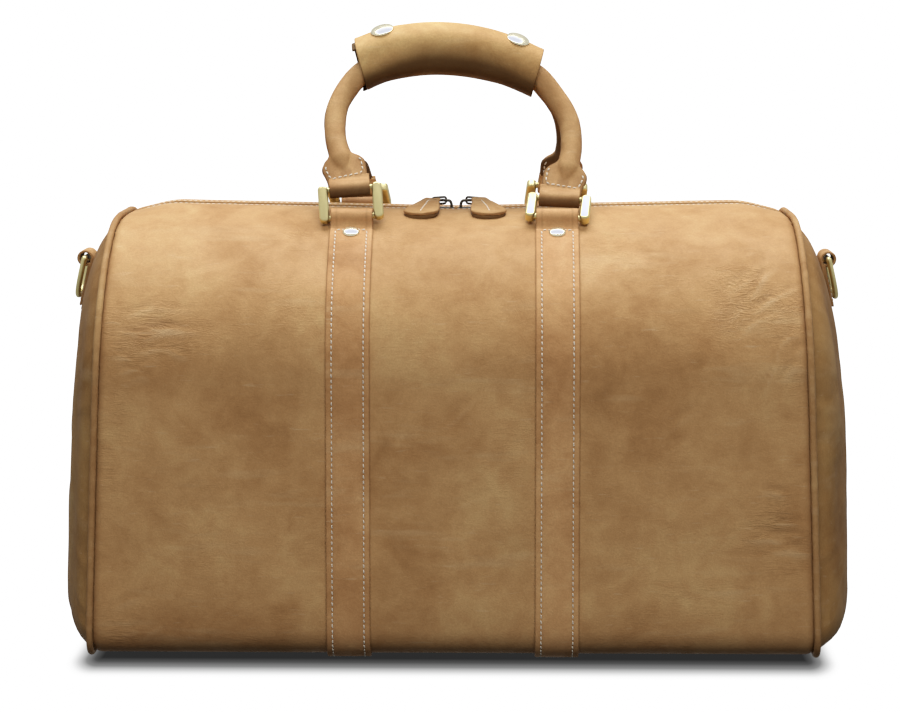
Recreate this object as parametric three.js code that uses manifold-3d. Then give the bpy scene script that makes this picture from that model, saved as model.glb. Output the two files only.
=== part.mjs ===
// A leather weekend duffel bag: arched body, piped ends, two straps that run under the base,
// two rolled handles on cast rings, a snap-closed grip wrap, and a two-way zipper.
// Millimetres, +Z up. The origin is under the middle of the base, X runs along the bag and
// the front faces -Y.
import * as THREE from "three";
import { mergeVertices } from "three/addons/utils/BufferGeometryUtils.js";
import Module from "manifold-3d";

const wasm = await Module();
wasm.setup();

const DEG = Math.PI / 180;

// ---- driving dimensions ------------------------------------------------------------------
const gap = 0.4; // air between neighbouring pieces
const leather = 2; // thickness of the body leather

// The arched cross-section of the body.
const baseZ = 2.4; // underside of the body panels, which stand on the straps
const crownZ = 280; // top of the arch at the middle of the bag
const halfDepth = 122;
const shoulderRadius = 100;
const cornerRadius = 34;
const crownHalfWidth = halfDepth - shoulderRadius;
const shoulderSteps = 9;
const cornerSteps = 4;

// The ends lean in a little towards the top and bulge outwards.
const seamHalfLengthBase = 227;
const seamHalfLengthTop = 216;
const seamCurve = 0.8; // below 1 the seams lean more near the top
const endBulge = 31;
const pipingRadius = 2.2;

// The top line rises from the middle towards both ends, then drops to the seams.
const topRise = 4;
const topRiseAt = 190;
const riseFade = { from: 25, to: 75 }; // where the rise dies out over the shoulders

// Zipper.
const zipOpening = 16; // clear width between the panels' top edges
const tapeHalfLength = 202;
const tapeThickness = 0.6;
const tapeEdge = 21;
const chainHalfLength = 195;
const chainGap = 1.6;
const chainDepth = 2.2;
const toothPitch = 6;
const tapeZ = crownZ - leather - gap - tapeThickness / 2; // middle of the tape at x = 0
const sliderAt = { left: -8.5, right: 8.5 };

// Straps.
const strapX = 66;
const strapWidth = 28;
const strapThickness = 2;
const loopInner = 3.7;
const loopOuter = 5.3;
const loopAngle = 67.7 * DEG; // where the ring's lower bar lies over the shoulder
const loopHeight = 6; // from the body's surface to the bar's centre
const rivetAngle = 60.4 * DEG;
const rivetShank = 1.5; // radii
const rivetHole = 1.9;
const rivetCap = 5.3;

// Rectangular rings.
const ringWidth = 41;
const ringSide = 5.4;
const ringBarSpacing = 19.5;
const ringBarRadius = 2;
const ringHeight = 24;
const ringDepth = 6;
const ringTilt = 5 * DEG; // the side nearer the middle of the bag stands higher

// Handles, and how far each ring leans in from upright at rest.
const ringLean = {
  front: { left: 25 * DEG, right: 57 * DEG },
  back: { left: 55 * DEG, right: 47 * DEG },
};
const archHeight = { front: 90, back: 91 };
const rollRadius = 7;
const rollWall = 1.5;
const coreRadius = 4.6;
const rollOffset = 8.3; // each roll's distance from the bag's middle plane inside the grip
const archSkew = { reach: 6, fullAt: 66 }; // the arch leans this far left, from this height up
const rollsMeetAt = 0.8; // share of the arch's height where the rolls come side by side
const rollsMeetCurve = 1.25;
// Half width and height of the arch, as fractions of its height, from the ring to the top.
const archProfile = [
  [70.5, 0.11],
  [73.5, 0.2],
  [77, 0.36],
  [75.5, 0.56],
  [66.5, 0.735],
  [55, 0.865],
  [30, 0.965],
  [0, 1],
];

// Half width and height of a handle's flat tab, from the ring's upper bar.
const handleTabOutline = [
  [13.2, 4.2],
  [13.8, 12],
  [14.4, 17],
  [12.5, 21],
  [7, 28],
];
const handleTabThickness = 4;
const coreShare = { from: 0.16, to: 0.84 }; // how much of a handle's path its cord fills

// Grip wrap.
const gripLeft = -63;
const gripRight = 53;
const gripInnerDepth = 16.8; // half sizes of the oval
const gripInnerHeight = 13.3;
const gripWall = 1.8;
const wrapArc = { from: 44 * DEG, to: 384 * DEG }; // 0 faces the front and 90 degrees faces up
const flapArc = { from: 20 * DEG, to: 128 * DEG };
const flapSlack = 0.3;
const snapInset = 16; // from each end of the grip
const snapAngle = 66 * DEG;
const snapPost = 1.9; // radii
const snapHoles = { wrap: 3.5, flap: 2.4 };
const snapCapRadius = 7.6;

// Carrying rings on the ends.
const endTabZ = 247;
const endTabWidth = 25;
const endRingLength = 30;
const endRingWidth = 35;
const endRingBar = 4;
const endRingDepth = 3.6;
const endRingLean = 13 * DEG;

// ---- materials ---------------------------------------------------------------------------
const material = (color, roughness, metalness = 0) =>
  new THREE.MeshStandardMaterial({ color, roughness, metalness });
const tanLeather = material("#b98b56", 0.7);
const strapLeather = material("#b28152", 0.68);
const brass = material("#cdbb7c", 0.3, 1);
const darkMetal = material("#3a332b", 0.4, 1);
const tapeFabric = material("#4a3526", 0.9);
const cottonLining = material("#6b5440", 0.95);
const fibreboard = material("#4d4a45", 0.9);
const cord = material("#d8cdb4", 0.95);

// ---- solid helpers -----------------------------------------------------------------------
// A geometry with only positions, its shared corners merged and its faces pointing out.
function closed(geometry) {
  let plain = new THREE.BufferGeometry();
  plain.setAttribute("position", geometry.getAttribute("position"));
  plain.setIndex(geometry.index);
  plain = mergeVertices(plain, 1e-4);
  const position = plain.getAttribute("position");
  const corner = [new THREE.Vector3(), new THREE.Vector3(), new THREE.Vector3()];
  const index = plain.index.array;
  let volume = 0;
  for (let i = 0; i < index.length; i += 3) {
    corner.forEach((point, k) => point.fromBufferAttribute(position, index[i + k]));
    volume += corner[0].dot(corner[1].cross(corner[2]));
  }
  if (volume < 0) index.reverse();
  return plain;
}

function toSolid(geometry) {
  const plain = closed(geometry);
  return new wasm.Manifold(
    new wasm.Mesh({
      numProp: 3,
      vertProperties: new Float32Array(plain.getAttribute("position").array),
      triVerts: new Uint32Array(plain.index.array),
    }),
  );
}

function fromSolid(solid) {
  const { vertProperties, triVerts } = solid.getMesh();
  const geometry = new THREE.BufferGeometry();
  geometry.setAttribute("position", new THREE.BufferAttribute(vertProperties, 3));
  geometry.setIndex(new THREE.BufferAttribute(triVerts, 1));
  return geometry;
}

function joined(...geometries) {
  return fromSolid(geometries.map(toSolid).reduce((sum, next) => sum.add(next)));
}

function cut(geometry, ...tools) {
  return fromSolid(tools.map(toSolid).reduce((rest, tool) => rest.subtract(tool), toSolid(geometry)));
}

// A closed grid of points: rows of equal length, wrapped round on themselves along each row.
function gridGeometry(rows, loopRows) {
  const positions = rows.flat().flatMap((point) => point.toArray());
  const width = rows[0].length;
  const index = [];
  const last = loopRows ? rows.length : rows.length - 1;
  for (let row = 0; row < last; row++) {
    const next = (row + 1) % rows.length;
    for (let i = 0; i < width; i++) {
      const j = (i + 1) % width;
      const corners = [row * width + i, row * width + j, next * width + j, next * width + i];
      index.push(corners[0], corners[1], corners[2], corners[0], corners[2], corners[3]);
    }
  }
  const geometry = new THREE.BufferGeometry();
  geometry.setAttribute("position", new THREE.Float32BufferAttribute(positions, 3));
  geometry.setIndex(index);
  return geometry;
}

// A loft through closed outlines, with flat ends. Every outline is a strip: its first half runs
// along one side and its second half back along the other.
function stripLoft(outlines) {
  const geometry = gridGeometry(outlines, false);
  const index = Array.from(geometry.index.array);
  const width = outlines[0].length;
  for (const [start, flip] of [[0, true], [(outlines.length - 1) * width, false]]) {
    for (let i = 0; i < width / 2 - 1; i++) {
      const corners = [start + i, start + i + 1, start + width - 2 - i, start + width - 1 - i];
      if (flip) corners.reverse();
      index.push(corners[0], corners[1], corners[2], corners[0], corners[2], corners[3]);
    }
  }
  geometry.setIndex(index);
  return closed(geometry);
}

// A slab between two surfaces, each a function of a column and a row number.
function slab(outside, inside, columns, rows) {
  const outlines = [];
  for (let row = 0; row <= rows; row++) {
    const outline = [];
    for (let column = 0; column <= columns; column++) outline.push(outside(column, row));
    for (let column = columns; column >= 0; column--) outline.push(inside(column, row));
    outlines.push(outline);
  }
  return stripLoft(outlines);
}

// A cylinder from one point to another.
function rod(from, to, radius, sides = 12) {
  const along = to.clone().sub(from);
  const geometry = new THREE.CylinderGeometry(radius, radius, along.length(), sides);
  const turn = new THREE.Quaternion().setFromUnitVectors(
    new THREE.Vector3(0, 1, 0),
    along.clone().normalize(),
  );
  geometry.applyQuaternion(turn);
  const middle = from.clone().add(to).multiplyScalar(0.5);
  return geometry.translate(middle.x, middle.y, middle.z);
}

function box(width, depth, height, x, y, z) {
  return new THREE.BoxGeometry(width, depth, height).translate(x, y, z);
}

const vector = (x, y, z) => new THREE.Vector3(x, y, z);

// ---- body shape --------------------------------------------------------------------------
const smooth = (low, high, value) => THREE.MathUtils.smoothstep(value, low, high);

// How much the top stands above crownZ at x.
function rise(x) {
  const fromSeam = (seamHalfLengthTop - Math.abs(x)) / (seamHalfLengthTop - topRiseAt);
  const run = Math.min(Math.abs(x) / topRiseAt, fromSeam);
  return topRise * Math.max(0, run);
}

// The crown takes all of the rise, and it fades out over the shoulders.
function riseShare(y, z) {
  return z > crownZ / 2 ? 1 - smooth(riseFade.from, riseFade.to, Math.abs(y)) : 0;
}

// Half the distance between the end seams at height z.
function seamX(z) {
  const down = THREE.MathUtils.clamp(1 - z / crownZ, 0, 1);
  return seamHalfLengthTop + (seamHalfLengthBase - seamHalfLengthTop) * down ** seamCurve;
}

// Points of the front half of the cross-section from the crown to the base, with normals.
function sectionArcs() {
  const stations = [];
  const arc = (centreY, centreZ, radius, startAngle, steps) => {
    for (let step = 0; step <= steps; step++) {
      const angle = startAngle + ((Math.PI / 2) * step) / steps;
      const ny = Math.cos(angle);
      const nz = Math.sin(angle);
      stations.push({ y: centreY + radius * ny, z: centreZ + radius * nz, ny, nz });
    }
  };
  arc(-crownHalfWidth, crownZ - shoulderRadius, shoulderRadius, Math.PI / 2, shoulderSteps);
  arc(-(halfDepth - cornerRadius), baseZ + cornerRadius, cornerRadius, Math.PI, cornerSteps);
  return stations;
}

const arcs = sectionArcs();
const halfSection = [
  { y: -zipOpening / 2, z: crownZ, ny: 0, nz: 1 },
  ...arcs,
  { y: -gap / 2, z: baseZ, ny: 0, nz: -1 },
];

// A point of the body's skin, offset outwards from the section's station at x.
function skin(station, x, offset) {
  const z = station.z + station.nz * offset + rise(x) * riseShare(station.y, station.z);
  return vector(x, station.y + station.ny * offset, z);
}

const mirrorY = (geometry) => closed(geometry.clone().scale(1, -1, 1));
const mirrorX = (geometry) => closed(geometry.clone().scale(-1, 1, 1));

// Where the shoulder arc passes an angle above the horizontal, and the outward normal there.
function onShoulder(angle, height) {
  const reach = shoulderRadius + height;
  const y = -crownHalfWidth - reach * Math.cos(angle);
  const z = crownZ - shoulderRadius + reach * Math.sin(angle);
  return vector(0, y, z);
}

function frontPanel() {
  const spans = 4;
  const stationX = (column, station) => {
    const step = column - spans - 1;
    const edge = seamX(station.z) - pipingRadius - gap;
    return Math.abs(step) > spans ? Math.sign(step) * edge : (step * topRiseAt) / spans;
  };
  const surface = (offset) => (column, row) => {
    const station = halfSection[row];
    return skin(station, stationX(column, station), offset);
  };
  const sheet = slab(surface(0), surface(-leather), 2 * spans + 2, halfSection.length - 1);
  return cut(sheet, ...[-strapX, strapX].map((x) => rivetDrill(x)));
}

function rivetDrill(x) {
  const reach = 10;
  const from = onShoulder(rivetAngle, -reach).setX(x);
  const to = onShoulder(rivetAngle, reach).setX(x);
  return rod(from, to, rivetHole);
}

// How far an end bulges past its seam. It stays full lower down than it does near the top.
function endDepth(y, z) {
  const fullness = { up: 2.6, down: 5, side: 3, edge: 0.6 };
  const halfHeight = (crownZ - baseZ) / 2;
  const up = (z - baseZ - halfHeight) / halfHeight;
  const level = Math.min(Math.abs(up), 1) ** (up > 0 ? fullness.up : fullness.down);
  const side = Math.min(Math.abs(y) / sectionHalfDepth(z), 1) ** fullness.side;
  return endBulge * ((1 - level) * (1 - side)) ** fullness.edge;
}

// Half the depth of the section at height z.
function sectionHalfDepth(z) {
  const overShoulder = z - (crownZ - shoulderRadius);
  const underCorner = baseZ + cornerRadius - z;
  const chord = (radius, away) => Math.sqrt(Math.max(0, radius ** 2 - away ** 2));
  if (overShoulder > 0) return crownHalfWidth + chord(shoulderRadius, overShoulder);
  if (underCorner > 0) return halfDepth - cornerRadius + chord(cornerRadius, underCorner);
  return halfDepth;
}

function endPanelRight() {
  const columns = 10;
  const rows = arcs.length - 1;
  const centreZ = (crownZ + baseZ) / 2;
  const shrink = 1 - (pipingRadius + 2 * gap) / halfDepth; // clear of the piping
  const surface = (offset) => (column, row) => {
    const station = arcs[row];
    const y = shrink * station.y * (1 - (2 * column) / columns);
    const z = centreZ + shrink * (station.z - centreZ);
    return vector(seamX(z) + endDepth(y, z) + offset, y, z);
  };
  return slab(surface(0), surface(-leather), columns, rows);
}

function pipingRight() {
  const sides = 6;
  const back = arcs.map(({ y, z, ny, nz }) => ({ y: -y, z, ny: -ny, nz })).reverse();
  const rings = [...arcs, ...back].map(({ y, z, ny, nz }) => {
    const ring = [];
    for (let side = 0; side < sides; side++) {
      const angle = (2 * Math.PI * side) / sides;
      const out = pipingRadius * Math.cos(angle);
      const along = pipingRadius * Math.sin(angle);
      ring.push(vector(seamX(z) + along, y + ny * out, z + nz * out));
    }
    return ring;
  });
  return closed(gridGeometry(rings, true));
}

// ---- straps and rivets -------------------------------------------------------------------
const ringBar = onShoulder(loopAngle, loopHeight);

// A strap at x = 0: a band round the body that folds over a ring's bar at each end.
function strap() {
  const bandStart = 3; // the first station of the section that the band covers
  const front = halfSection.slice(bandStart, -1);
  const back = front.map(({ y, z, ny, nz }) => ({ y: -y, z, ny: -ny, nz })).reverse();
  const stations = [...front, ...back];
  const surface = (offset) => (column, row) => {
    const station = stations[row];
    const point = skin(station, strapX, offset);
    return point.setX((column - 0.5) * strapWidth);
  };
  const band = slab(surface(gap + strapThickness), surface(gap), 1, stations.length - 1);
  const across = (side, radius, halfWidth) =>
    rod(
      vector(-halfWidth, side * ringBar.y, ringBar.z),
      vector(halfWidth, side * ringBar.y, ringBar.z),
      radius,
    );
  const loops = [1, -1].map((side) => across(side, loopOuter, strapWidth / 2));
  const holes = [1, -1].map((side) => across(side, loopInner, strapWidth));
  const drills = [rivetDrill(0), mirrorY(rivetDrill(0))];
  return cut(joined(band, ...loops), ...holes, ...drills);
}

// A capped rivet along Z, with z = 0 on the body's surface and its tail inside the panel.
function rivet() {
  const headUnder = gap + strapThickness + 0.3;
  const tailTop = -leather - 0.9;
  const tail = { radius: 3.6, thickness: 1 };
  const rim = 0.6;
  const dome = 1.9;
  const profile = [
    [0, tailTop - tail.thickness],
    [tail.radius, tailTop - tail.thickness],
    [tail.radius, tailTop],
    [rivetShank, tailTop],
    [rivetShank, headUnder],
    [rivetCap, headUnder],
    [rivetCap, headUnder + rim],
    [0.72 * rivetCap, headUnder + 0.8 * dome],
    [0, headUnder + dome],
  ].map(([radius, z]) => new THREE.Vector2(radius, z));
  return closed(new THREE.LatheGeometry(profile, 12)).rotateX(Math.PI / 2);
}

// ---- rings and handles -------------------------------------------------------------------
// A cast ring about its lower bar, standing up along Z.
function castRing() {
  const halfSpan = (ringWidth - ringSide) / 2;
  const outline = new THREE.Shape();
  const reach = ringHeight / 2 - ringDepth / 2;
  outline.absarc(0, reach, ringDepth / 2, 0, Math.PI, false);
  outline.absarc(0, -reach, ringDepth / 2, Math.PI, 2 * Math.PI, false);
  const plate = new THREE.ExtrudeGeometry(outline, {
    depth: ringSide,
    bevelEnabled: false,
    curveSegments: 4,
  });
  plate.rotateX(Math.PI / 2).rotateZ(Math.PI / 2);
  plate.translate(-ringSide / 2, 0, ringBarSpacing / 2);
  const sides = [-halfSpan, halfSpan].map((x) => plate.clone().translate(x, 0, 0));
  const bars = [0, ringBarSpacing].map((z) =>
    rod(vector(-halfSpan, 0, z), vector(halfSpan, 0, z), ringBarRadius, 8),
  );
  return joined(...sides, ...bars);
}

const ringSideSign = { left: -1, right: 1 };

// Where a ring stands at rest, seen as on the front.
function ringMatrix(face, side) {
  const sign = ringSideSign[side];
  const turn = new THREE.Euler(-ringLean[face][side], sign * ringTilt, 0, "XYZ");
  const matrix = new THREE.Matrix4().makeRotationFromEuler(turn);
  return matrix.setPosition(sign * strapX, ringBar.y, ringBar.z);
}

const upperBar = (face, side) => vector(0, 0, ringBarSpacing).applyMatrix4(ringMatrix(face, side));

// One point of a handle's middle line: half width and height of the arch on one side.
function archPoint(face, sign, halfWidth, height) {
  const left = upperBar(face, "left");
  const right = upperBar(face, "right");
  const slant = Math.atan2(left.z - right.z, 2 * strapX);
  const across = sign * halfWidth - archSkew.reach * Math.min(1, height / archSkew.fullAt);
  const x = across * Math.cos(slant) + height * Math.sin(slant);
  const z = (left.z + right.z) / 2 - across * Math.sin(slant) + height * Math.cos(slant);
  const climbed = Math.min(1, height / (rollsMeetAt * archHeight[face]));
  const rest = (1 - climbed) ** rollsMeetCurve;
  const barY = THREE.MathUtils.lerp(left.y, right.y, 0.5 + across / (2 * strapX));
  return vector(x, -rollOffset + (barY + rollOffset) * rest, z);
}

function archPoints(face) {
  const points = archProfile.map(([halfWidth, share]) => [halfWidth, share * archHeight[face]]);
  const left = points.map(([halfWidth, height]) => archPoint(face, -1, halfWidth, height));
  const right = points.slice(0, -1).map(([halfWidth, height]) => archPoint(face, 1, halfWidth, height));
  return [...left, ...right.reverse()];
}

function circleShape(radius, sides) {
  const points = [];
  for (let i = 0; i < sides; i++) {
    const angle = (2 * Math.PI * i) / sides;
    points.push(new THREE.Vector2(radius * Math.cos(angle), radius * Math.sin(angle)));
  }
  return new THREE.Shape(points);
}

// The rolled leather is a tube with an open seam along it.
function rollShape() {
  const sides = 8;
  const seam = 6 * DEG; // half the open seam
  const points = [];
  for (const [radius, flip] of [[rollRadius, false], [rollRadius - rollWall, true]]) {
    for (let i = 0; i <= sides; i++) {
      const share = flip ? 1 - i / sides : i / sides;
      const angle = seam + share * (2 * Math.PI - 2 * seam);
      points.push(new THREE.Vector2(radius * Math.cos(angle), radius * Math.sin(angle)));
    }
  }
  return new THREE.Shape(points);
}

// The flat tab at a handle's foot, about the ring's upper bar, standing up along Z. It flares
// out and leans sideways towards the roll.
function handleTab(sideways) {
  const [footHalfWidth, footZ] = handleTabOutline[0];
  const corner = (x, z) => new THREE.Vector2(x + sideways * (z - footZ), z);
  const left = handleTabOutline.map(([x, z]) => corner(-x, z)).reverse();
  const right = handleTabOutline.map(([x, z]) => corner(x, z));
  const plate = new THREE.ExtrudeGeometry(new THREE.Shape([...right, ...left]), {
    depth: handleTabThickness,
    bevelEnabled: false,
  });
  plate.rotateX(Math.PI / 2).translate(0, handleTabThickness / 2, 0);
  const across = (halfWidth, radius) =>
    rod(vector(-halfWidth, 0, 0), vector(halfWidth, 0, 0), radius, 14);
  const loop = across(footHalfWidth, loopOuter);
  return cut(joined(plate, loop), across(1.5 * footHalfWidth, loopInner));
}

function placedTab(face, side, towards) {
  const bar = upperBar(face, side);
  const across = vector(1, 0, 0).transformDirection(ringMatrix(face, side));
  const normal = towards.clone().sub(bar).cross(across).normalize();
  const up = across.clone().cross(normal);
  const basis = new THREE.Matrix4().makeBasis(across, normal, up).setPosition(bar);
  const aim = towards.clone().sub(bar);
  return handleTab(aim.dot(across) / aim.dot(up)).applyMatrix4(basis);
}

function handle(face) {
  const points = archPoints(face);
  const roll = new THREE.ExtrudeGeometry(rollShape(), {
    steps: 24,
    extrudePath: new THREE.CatmullRomCurve3(points),
    bevelEnabled: false,
  });
  const left = placedTab(face, "left", points[1]);
  const right = placedTab(face, "right", points[points.length - 2]);
  return joined(roll, left, right);
}

// The cord inside a roll stops short of the tabs.
class CorePath extends THREE.Curve {
  constructor(path) {
    super();
    this.path = path;
  }

  getPoint(share, target = new THREE.Vector3()) {
    return this.path.getPoint(THREE.MathUtils.lerp(coreShare.from, coreShare.to, share), target);
  }
}

function handleCore(face) {
  return closed(
    new THREE.ExtrudeGeometry(circleShape(coreRadius, 6), {
      steps: 18,
      extrudePath: new CorePath(new THREE.CatmullRomCurve3(archPoints(face))),
      bevelEnabled: false,
    }),
  );
}

// ---- grip wrap ---------------------------------------------------------------------------
const gripPath = new THREE.CatmullRomCurve3(archPoints("front").map((point) => point.clone().setY(0)));

// Where the path passes x, going from left to right.
function gripShare(x) {
  let low = 0.2;
  let high = 0.8;
  for (let step = 0; step < 30; step++) {
    const middle = (low + high) / 2;
    if (gripPath.getPoint(middle).x < x) low = middle;
    else high = middle;
  }
  return low;
}

// The path's point and the two directions of the cut across it at a share of its length.
function gripFrame(share) {
  const point = gripPath.getPoint(share);
  const tangent = gripPath.getTangent(share);
  const up = vector(-tangent.z, 0, tangent.x).normalize();
  return { point, tangent, up };
}

// A point of the oval: angle 0 faces the front and 90 degrees faces up.
function gripOval(frame, angle, offset) {
  const depth = gripInnerDepth + offset;
  const height = gripInnerHeight + offset;
  return frame.point
    .clone()
    .addScaledVector(vector(0, -1, 0), depth * Math.cos(angle))
    .addScaledVector(frame.up, height * Math.sin(angle));
}

function gripShell(fromAngle, toAngle, inner, arcSteps, pathSteps) {
  const start = gripShare(gripLeft);
  const end = gripShare(gripRight);
  const surface = (offset) => (column, row) => {
    const frame = gripFrame(THREE.MathUtils.lerp(start, end, row / pathSteps));
    const angle = THREE.MathUtils.lerp(fromAngle, toAngle, column / arcSteps);
    return gripOval(frame, angle, offset);
  };
  return slab(surface(inner + gripWall), surface(inner), arcSteps, pathSteps);
}

const flapInner = gripWall + gap;
const snapPostEnd = gripWall - 0.6; // the post stops inside the wrap's wall

function snapFrame(side) {
  const x = side === "left" ? gripLeft + snapInset : gripRight - snapInset;
  const frame = gripFrame(gripShare(x));
  const inner = gripOval(frame, snapAngle, 0);
  const outer = gripOval(frame, snapAngle, flapInner + gripWall);
  return { inner, normal: outer.clone().sub(inner).normalize() };
}

function snapDrill(side, radius) {
  const reach = 9;
  const { inner, normal } = snapFrame(side);
  const [from, to] = [-reach, reach].map((run) => inner.clone().addScaledVector(normal, run));
  return rod(from, to, radius);
}

// A turned piece on a snap's axis: profile heights are measured from the grip's inner face.
function snapTurning(side, profile, sides) {
  const { inner, normal } = snapFrame(side);
  const points = profile.map(([radius, z]) => new THREE.Vector2(radius, z));
  const geometry = closed(new THREE.LatheGeometry(points, sides));
  const turn = new THREE.Quaternion().setFromUnitVectors(vector(0, 1, 0), normal);
  geometry.applyQuaternion(turn);
  return geometry.translate(inner.x, inner.y, inner.z);
}

function snapCap(side) {
  const under = flapInner + gripWall + gap;
  const rim = 0.7;
  const dome = 2.2;
  const profile = [
    [0, snapPostEnd],
    [snapPost, snapPostEnd],
    [snapPost, under],
    [snapCapRadius, under],
    [snapCapRadius, under + rim],
    [0.71 * snapCapRadius, under + 0.77 * dome],
    [0, under + dome],
  ];
  return snapTurning(side, profile, 16);
}

function snapSocket(side) {
  const bore = snapPost + 0.6;
  const barrel = bore + 0.6;
  const flange = { radius: 5, from: -3, to: -2.2 };
  const profile = [
    [bore, flange.from],
    [flange.radius, flange.from],
    [flange.radius, flange.to],
    [barrel, flange.to],
    [barrel, snapPostEnd],
    [bore, snapPostEnd],
    [bore, flange.from],
  ];
  return snapTurning(side, profile, 10);
}

function drilled(shell, radius) {
  return cut(shell, snapDrill("left", radius), snapDrill("right", radius));
}

function gripWrap() {
  return drilled(gripShell(wrapArc.from, wrapArc.to, 0, 14, 8), snapHoles.wrap);
}

function gripFlap() {
  return drilled(gripShell(flapArc.from, flapArc.to, flapInner + flapSlack, 7, 8), snapHoles.flap);
}

// ---- zipper ------------------------------------------------------------------------------
const chainInner = chainGap / 2;
const chainOuter = 3;

function frontTape() {
  const stations = [-tapeHalfLength, -topRiseAt, 0, topRiseAt, tapeHalfLength];
  const surface = (offset) => (column, row) => {
    const x = stations[row];
    const y = column ? -chainOuter - gap : -tapeEdge;
    return vector(x, y, tapeZ + rise(x) + offset);
  };
  return slab(surface(tapeThickness / 2), surface(-tapeThickness / 2), 1, stations.length - 1);
}

function frontTeeth() {
  const toothDepth = 1.1;
  const rows = Math.round((4 * chainHalfLength) / toothPitch);
  const surface = (offset) => (column, row) => {
    const x = -chainHalfLength + (row * 2 * chainHalfLength) / rows;
    const tip = row % 2 ? chainInner : chainInner + toothDepth;
    return vector(x, column ? -tip : -chainOuter, tapeZ + rise(x) + offset);
  };
  return slab(surface(chainDepth / 2), surface(-chainDepth / 2), 1, rows);
}

const bridgeHeight = 4.5; // from the slider's top plate to the pull's axis
const plateThickness = 1.3;
const plateOffset = chainDepth / 2 + gap + 0.1;
const pullAxisZ = tapeZ + plateOffset + plateThickness + bridgeHeight;

// A slider about the chain's middle at x = 0: two plates on a post, with a bridge on top.
function slider() {
  const length = 14;
  const width = 10;
  const postLength = 4;
  const postWidth = chainGap - 0.7;
  const leg = { length: 1.6, width: 2.4, x: 5 };
  const barRadius = 1;
  const top = plateOffset + plateThickness;
  const barZ = top + bridgeHeight;
  const plates = [-1, 1].map((side) => {
    const z = side * (plateOffset + plateThickness / 2);
    return box(length, width, plateThickness, 0, 0, z);
  });
  const post = box(postLength, postWidth, 2 * plateOffset + plateThickness, 0, 0, 0);
  const legs = [-leg.x, leg.x].map((x) =>
    box(leg.length, leg.width, bridgeHeight + barRadius, x, 0, top + bridgeHeight / 2),
  );
  const bar = rod(vector(-leg.x, 0, barZ), vector(leg.x, 0, barZ), barRadius, 8);
  return joined(...plates, post, ...legs, bar);
}

const pullLinkLength = 16;
const pullLinkWidth = 7.6;
const pullLinkWire = 1.5;
const pullLinkBack = 3.8; // from the pull's axis to the link's near end
const pullTabYaw = 30 * DEG; // the tab turns back from the link towards straight forward
const pullYaw = 40 * DEG; // the link's direction, from straight forward towards the bag's end
const pullTabLength = 44;
const pullTabThickness = 2.8;
const pullTabDroop = 5.5 * DEG;

// An upright oval link that starts at the bridge's bar and runs forward along -Y.
function pullLink() {
  const loop = (inset) => {
    const radius = pullLinkWidth / 2 - inset;
    const reach = pullLinkLength / 2 - pullLinkWidth / 2;
    const path = new THREE.Shape();
    path.absarc(reach, 0, radius, -Math.PI / 2, Math.PI / 2, false);
    path.absarc(-reach, 0, radius, Math.PI / 2, (3 * Math.PI) / 2, false);
    return path;
  };
  const outline = loop(0);
  outline.holes.push(loop(pullLinkWire));
  const geometry = new THREE.ExtrudeGeometry(outline, {
    depth: pullLinkWire,
    bevelEnabled: false,
    curveSegments: 6,
  });
  geometry.translate(pullLinkLength / 2 - pullLinkBack, 0, -pullLinkWire / 2);
  geometry.rotateX(Math.PI / 2).rotateZ(-Math.PI / 2);
  return closed(geometry);
}

// A leather pull tab about the middle of its eye, lying flat and running forward along -Y.
function pullTab() {
  const near = { x: 5.4, y: 3.6 };
  const neck = { x: 6.5, y: -8 };
  const waist = { x: 8, y: -18 };
  const far = { x: 11.6, y: 9 - pullTabLength };
  const roundX = 9.6;
  const eyeRadius = 1.9;
  const outline = new THREE.Shape();
  outline.moveTo(near.x, near.y);
  outline.lineTo(neck.x, neck.y);
  outline.quadraticCurveTo(waist.x, waist.y, far.x, far.y);
  outline.bezierCurveTo(roundX, -pullTabLength, -roundX, -pullTabLength, -far.x, far.y);
  outline.quadraticCurveTo(-waist.x, waist.y, -neck.x, neck.y);
  outline.lineTo(-near.x, near.y);
  outline.closePath();
  const eye = new THREE.Path();
  eye.absarc(0, 0, eyeRadius, 0, 2 * Math.PI, false);
  outline.holes.push(eye);
  const geometry = new THREE.ExtrudeGeometry(outline, {
    depth: pullTabThickness,
    bevelEnabled: false,
    curveSegments: 6,
  });
  return closed(geometry.translate(0, 0, -pullTabThickness / 2));
}

// ---- end tabs and rings ------------------------------------------------------------------
const endSurfaceX = (z) => seamX(z) + endDepth(0, z);
const endTabLength = 34;
const endSlope = Math.atan2(
  endSurfaceX(endTabZ - endTabLength) - endSurfaceX(endTabZ),
  endTabLength,
);
const endTabClearance = 1.6; // from the end panel to the tab's strip
const endBar = vector(endSurfaceX(endTabZ) + loopOuter + endTabClearance, 0, endTabZ);

// The right-hand tab about the ring's bar: a loop with a strip that runs down the end panel.
function endTab() {
  const stripX = -loopOuter + strapThickness / 2;
  const strip = box(strapThickness, endTabWidth, endTabLength, stripX, 0, -endTabLength / 2);
  const across = (halfWidth, radius) =>
    rod(vector(0, -halfWidth, 0), vector(0, halfWidth, 0), radius, 16);
  const loop = across(endTabWidth / 2, loopOuter);
  return cut(joined(strip, loop), across(endTabWidth, loopInner)).rotateY(-endSlope);
}

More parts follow.
